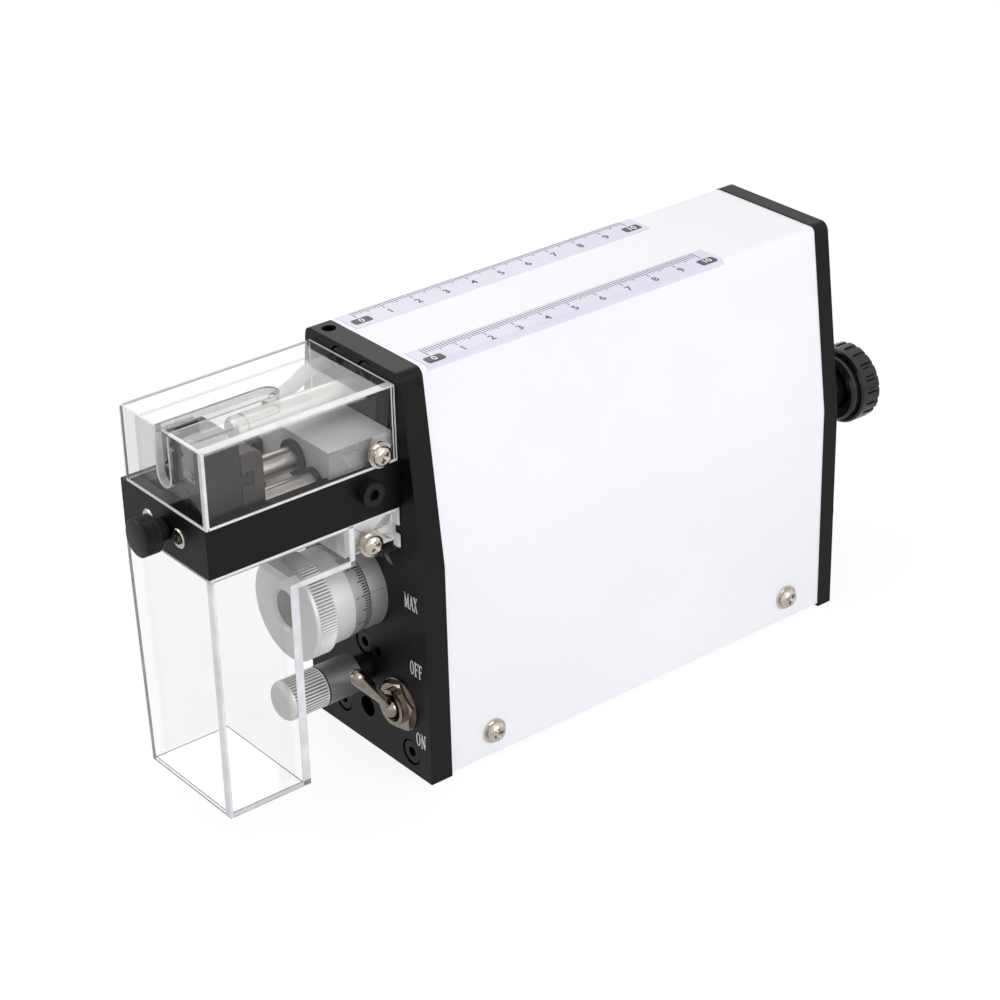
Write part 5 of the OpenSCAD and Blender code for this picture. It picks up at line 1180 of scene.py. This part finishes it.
middle, half = (SLOT_LEFT + SLOT_RIGHT) / 2, (SLOT_RIGHT - SLOT_LEFT) / 2 - 0.02
WIRE_BELOW_TOP, SLOT_BELOW_WIRE = 10.8, 9.3
foot = CASE_TOP / MM - WIRE_BELOW_TOP - SLOT_BELOW_WIRE + half
front_path = [(at(middle - half, HOOD_FRONT + 0.1, HOOD_TOP - 0.3), Vector((1, 0, 0)))]
for a in range(180, 361, 12):
    c, d = math.cos(math.radians(a)), math.sin(math.radians(a))
    front_path.append((at(middle + half * c, HOOD_FRONT + 0.1, foot + half * d), Vector((-c, 0, -d))))
front_path.append((at(middle + half, HOOD_FRONT + 0.1, HOOD_TOP - 1.2), Vector((-1, 0, 0))))
# Painted light along the front of the slot; a painted dark line along its top.
slot_rim("cover_slot_front_line", front_path, Vector((0, 1, 0)), 0.35, 0.3, acrylic_edge)
slot_rim("cover_slot_front_face", front_path[:11], Vector((0, 1, 0)), 2.5, 0.1, frosted_cut)
SLOT_REAR = -25.1
rear = SLOT_REAR - half
top_path = [(at(middle - half, HOOD_FRONT + 1.0, HOOD_TOP - 0.05), Vector((1, 0, 0)))]
for a in range(180, -1, -12):
    c, d = math.cos(math.radians(a)), math.sin(math.radians(a))
    top_path.append((at(middle + half * c, rear + half * d, HOOD_TOP - 0.05), Vector((-c, -d, 0))))
top_path.append((at(middle + half, HOOD_FRONT + 1.0, HOOD_TOP - 0.05), Vector((-1, 0, 0))))
slot_rim("cover_slot_top_line", top_path, Vector((0, 0, -1)), 0.3, 0.3, sawn_edge)
slot_rim("cover_slot_top_face", top_path[:9], Vector((0, 0, -1)), 2.5, 0.1, haze)
print("slot foot at z =", round(foot - half, 1), "mm")

# %% [markdown]
# ## Floor, walls of light and lamps
# The product was shot on seamless white. A large floor keeps the object's soft shadow.
# The camera should see it almost as pure white, also through the clear parts, so a Light
# Path node adds a share of plain white light for those rays. Reflections in metal and
# acrylic get that light dimmed, or the bright parts would lose their shading.

# %% White floor with a soft shadow
def direct_rays(tree):
    """The Light Path node, and 1 for each ray of the camera, a gloss or a clear piece."""
    ray = add(tree, "LightPath")
    seen = add(tree, "Math", {"operation": "MAXIMUM"}, {
        0: ray.outputs["Is Camera Ray"], 1: ray.outputs["Is Glossy Ray"]})
    direct = add(tree, "Math", {"operation": "MAXIMUM"}, {
        0: seen.outputs["Value"], 1: ray.outputs["Is Transmission Ray"]})
    return ray, direct.outputs["Value"]


REACH = 6
GLOW, GLOW_SHARE, GLOSS_LOSS = 1.07, 0.8, -0.38
floor_corners = [(-REACH, -REACH, 0), (REACH, -REACH, 0), (REACH, REACH, 0), (-REACH, REACH, 0)]
floor_mesh = bpy.data.meshes.new("studio_floor")
floor_mesh.from_pydata(floor_corners, [], [(0, 1, 2, 3)])
floor = new_object("studio_floor", floor_mesh)
floor.location.z = -0.0002
seamless = bpy.data.materials.new("seamless_white_paper")
seamless.use_nodes = True
tree = seamless.node_tree
paper = tree.nodes["Principled BSDF"]
paper.inputs["Base Color"].default_value = srgb("#f2f2f2")
paper.inputs["Roughness"].default_value = 0.9
paper.inputs["Specular IOR Level"].default_value = 0.0
ray, direct = direct_rays(tree)
share = add(tree, "Math", {"operation": "MULTIPLY"}, {0: direct, 1: GLOW_SHARE})
dimmed = add(tree, "Math", {"operation": "MULTIPLY_ADD"}, {
    0: ray.outputs["Is Glossy Ray"], 1: GLOSS_LOSS, 2: GLOW})
glow = add(tree, "Emission", None, {"Color": (1, 1, 1, 1), "Strength": dimmed.outputs["Value"]})
blend = add(tree, "MixShader", None, {
    "Fac": share.outputs["Value"], 1: paper.outputs["BSDF"], 2: glow.outputs["Emission"]})
tree.links.new(blend.outputs["Shader"], tree.nodes["Material Output"].inputs["Surface"])
floor_mesh.materials.append(seamless)
print("floor of", 2 * REACH, "by", 2 * REACH, "m")

# %% [markdown]
# The world is a white tent around the machine. The camera, polished metal and acrylic see
# it at full white. As a source of light it is weaker and comes mostly from above, so that
# the lamps can shape the piece: a broad one above, a weaker one at the front left, and a
# strong one from the right, because the long white side of the case is lighter than its
# top in the photograph. A fourth stands behind, where the cover mirrors it to the camera.

# %% World and lamps
world = bpy.data.worlds.new("studio")
bpy.context.scene.world = world
world.use_nodes = True
tree = world.node_tree
sky = tree.nodes["Background"]
_, direct = direct_rays(tree)
where = add(tree, "TexCoord")
split = add(tree, "SeparateXYZ", None, {"Vector": where.outputs["Generated"]})
height = add(tree, "ValToRGB", None, {"Fac": split.outputs["Z"]})
set_stops(height, (0.0, (0.30, 0.30, 0.31, 1)), (0.8, (0.62, 0.62, 0.63, 1)))
mixed = add(tree, "MixRGB", None, {
    "Fac": direct, "Color1": height.outputs["Color"], "Color2": (1, 1, 1, 1)})
tree.links.new(mixed.outputs["Color"], sky.inputs["Color"])
sky.inputs["Strength"].default_value = 1.0


def soft_lamp(name, place, target, size, power, tone="#ffffff"):
    """A square area lamp that looks at a target."""
    data = bpy.data.lights.new(name, "AREA")
    data.shape = "RECTANGLE"
    data.size, data.size_y = size
    data.energy = power
    data.color = srgb(tone)[:3]
    lamp = new_object(name, data)
    lamp.location = place
    lamp.rotation_euler = (Vector(target) - Vector(place)).to_track_quat("-Z", "Y").to_euler()
    return lamp


soft_lamp("lamp_above", (-0.1, -0.2, 1.1), (0, 0, 0.05), (0.9, 0.9), 2.5, "#fff8f0")
soft_lamp("lamp_right", (1.1, 0.05, 0.55), (0, 0.02, 0.07), (0.8, 0.8), 6.6, "#fbfcff")
soft_lamp("lamp_mirrored_in_cover", at(-1110, 680, 980), at(0, -30, 110), (0.6, 0.5), 1.9)
soft_lamp("lamp_front_left", (-0.7, -1.0, 0.6), (0, -0.05, 0.07), (0.5, 0.7), 2.6)
scene = bpy.context.scene
scene.view_settings.view_transform = "Standard"
print("world and four lamps")
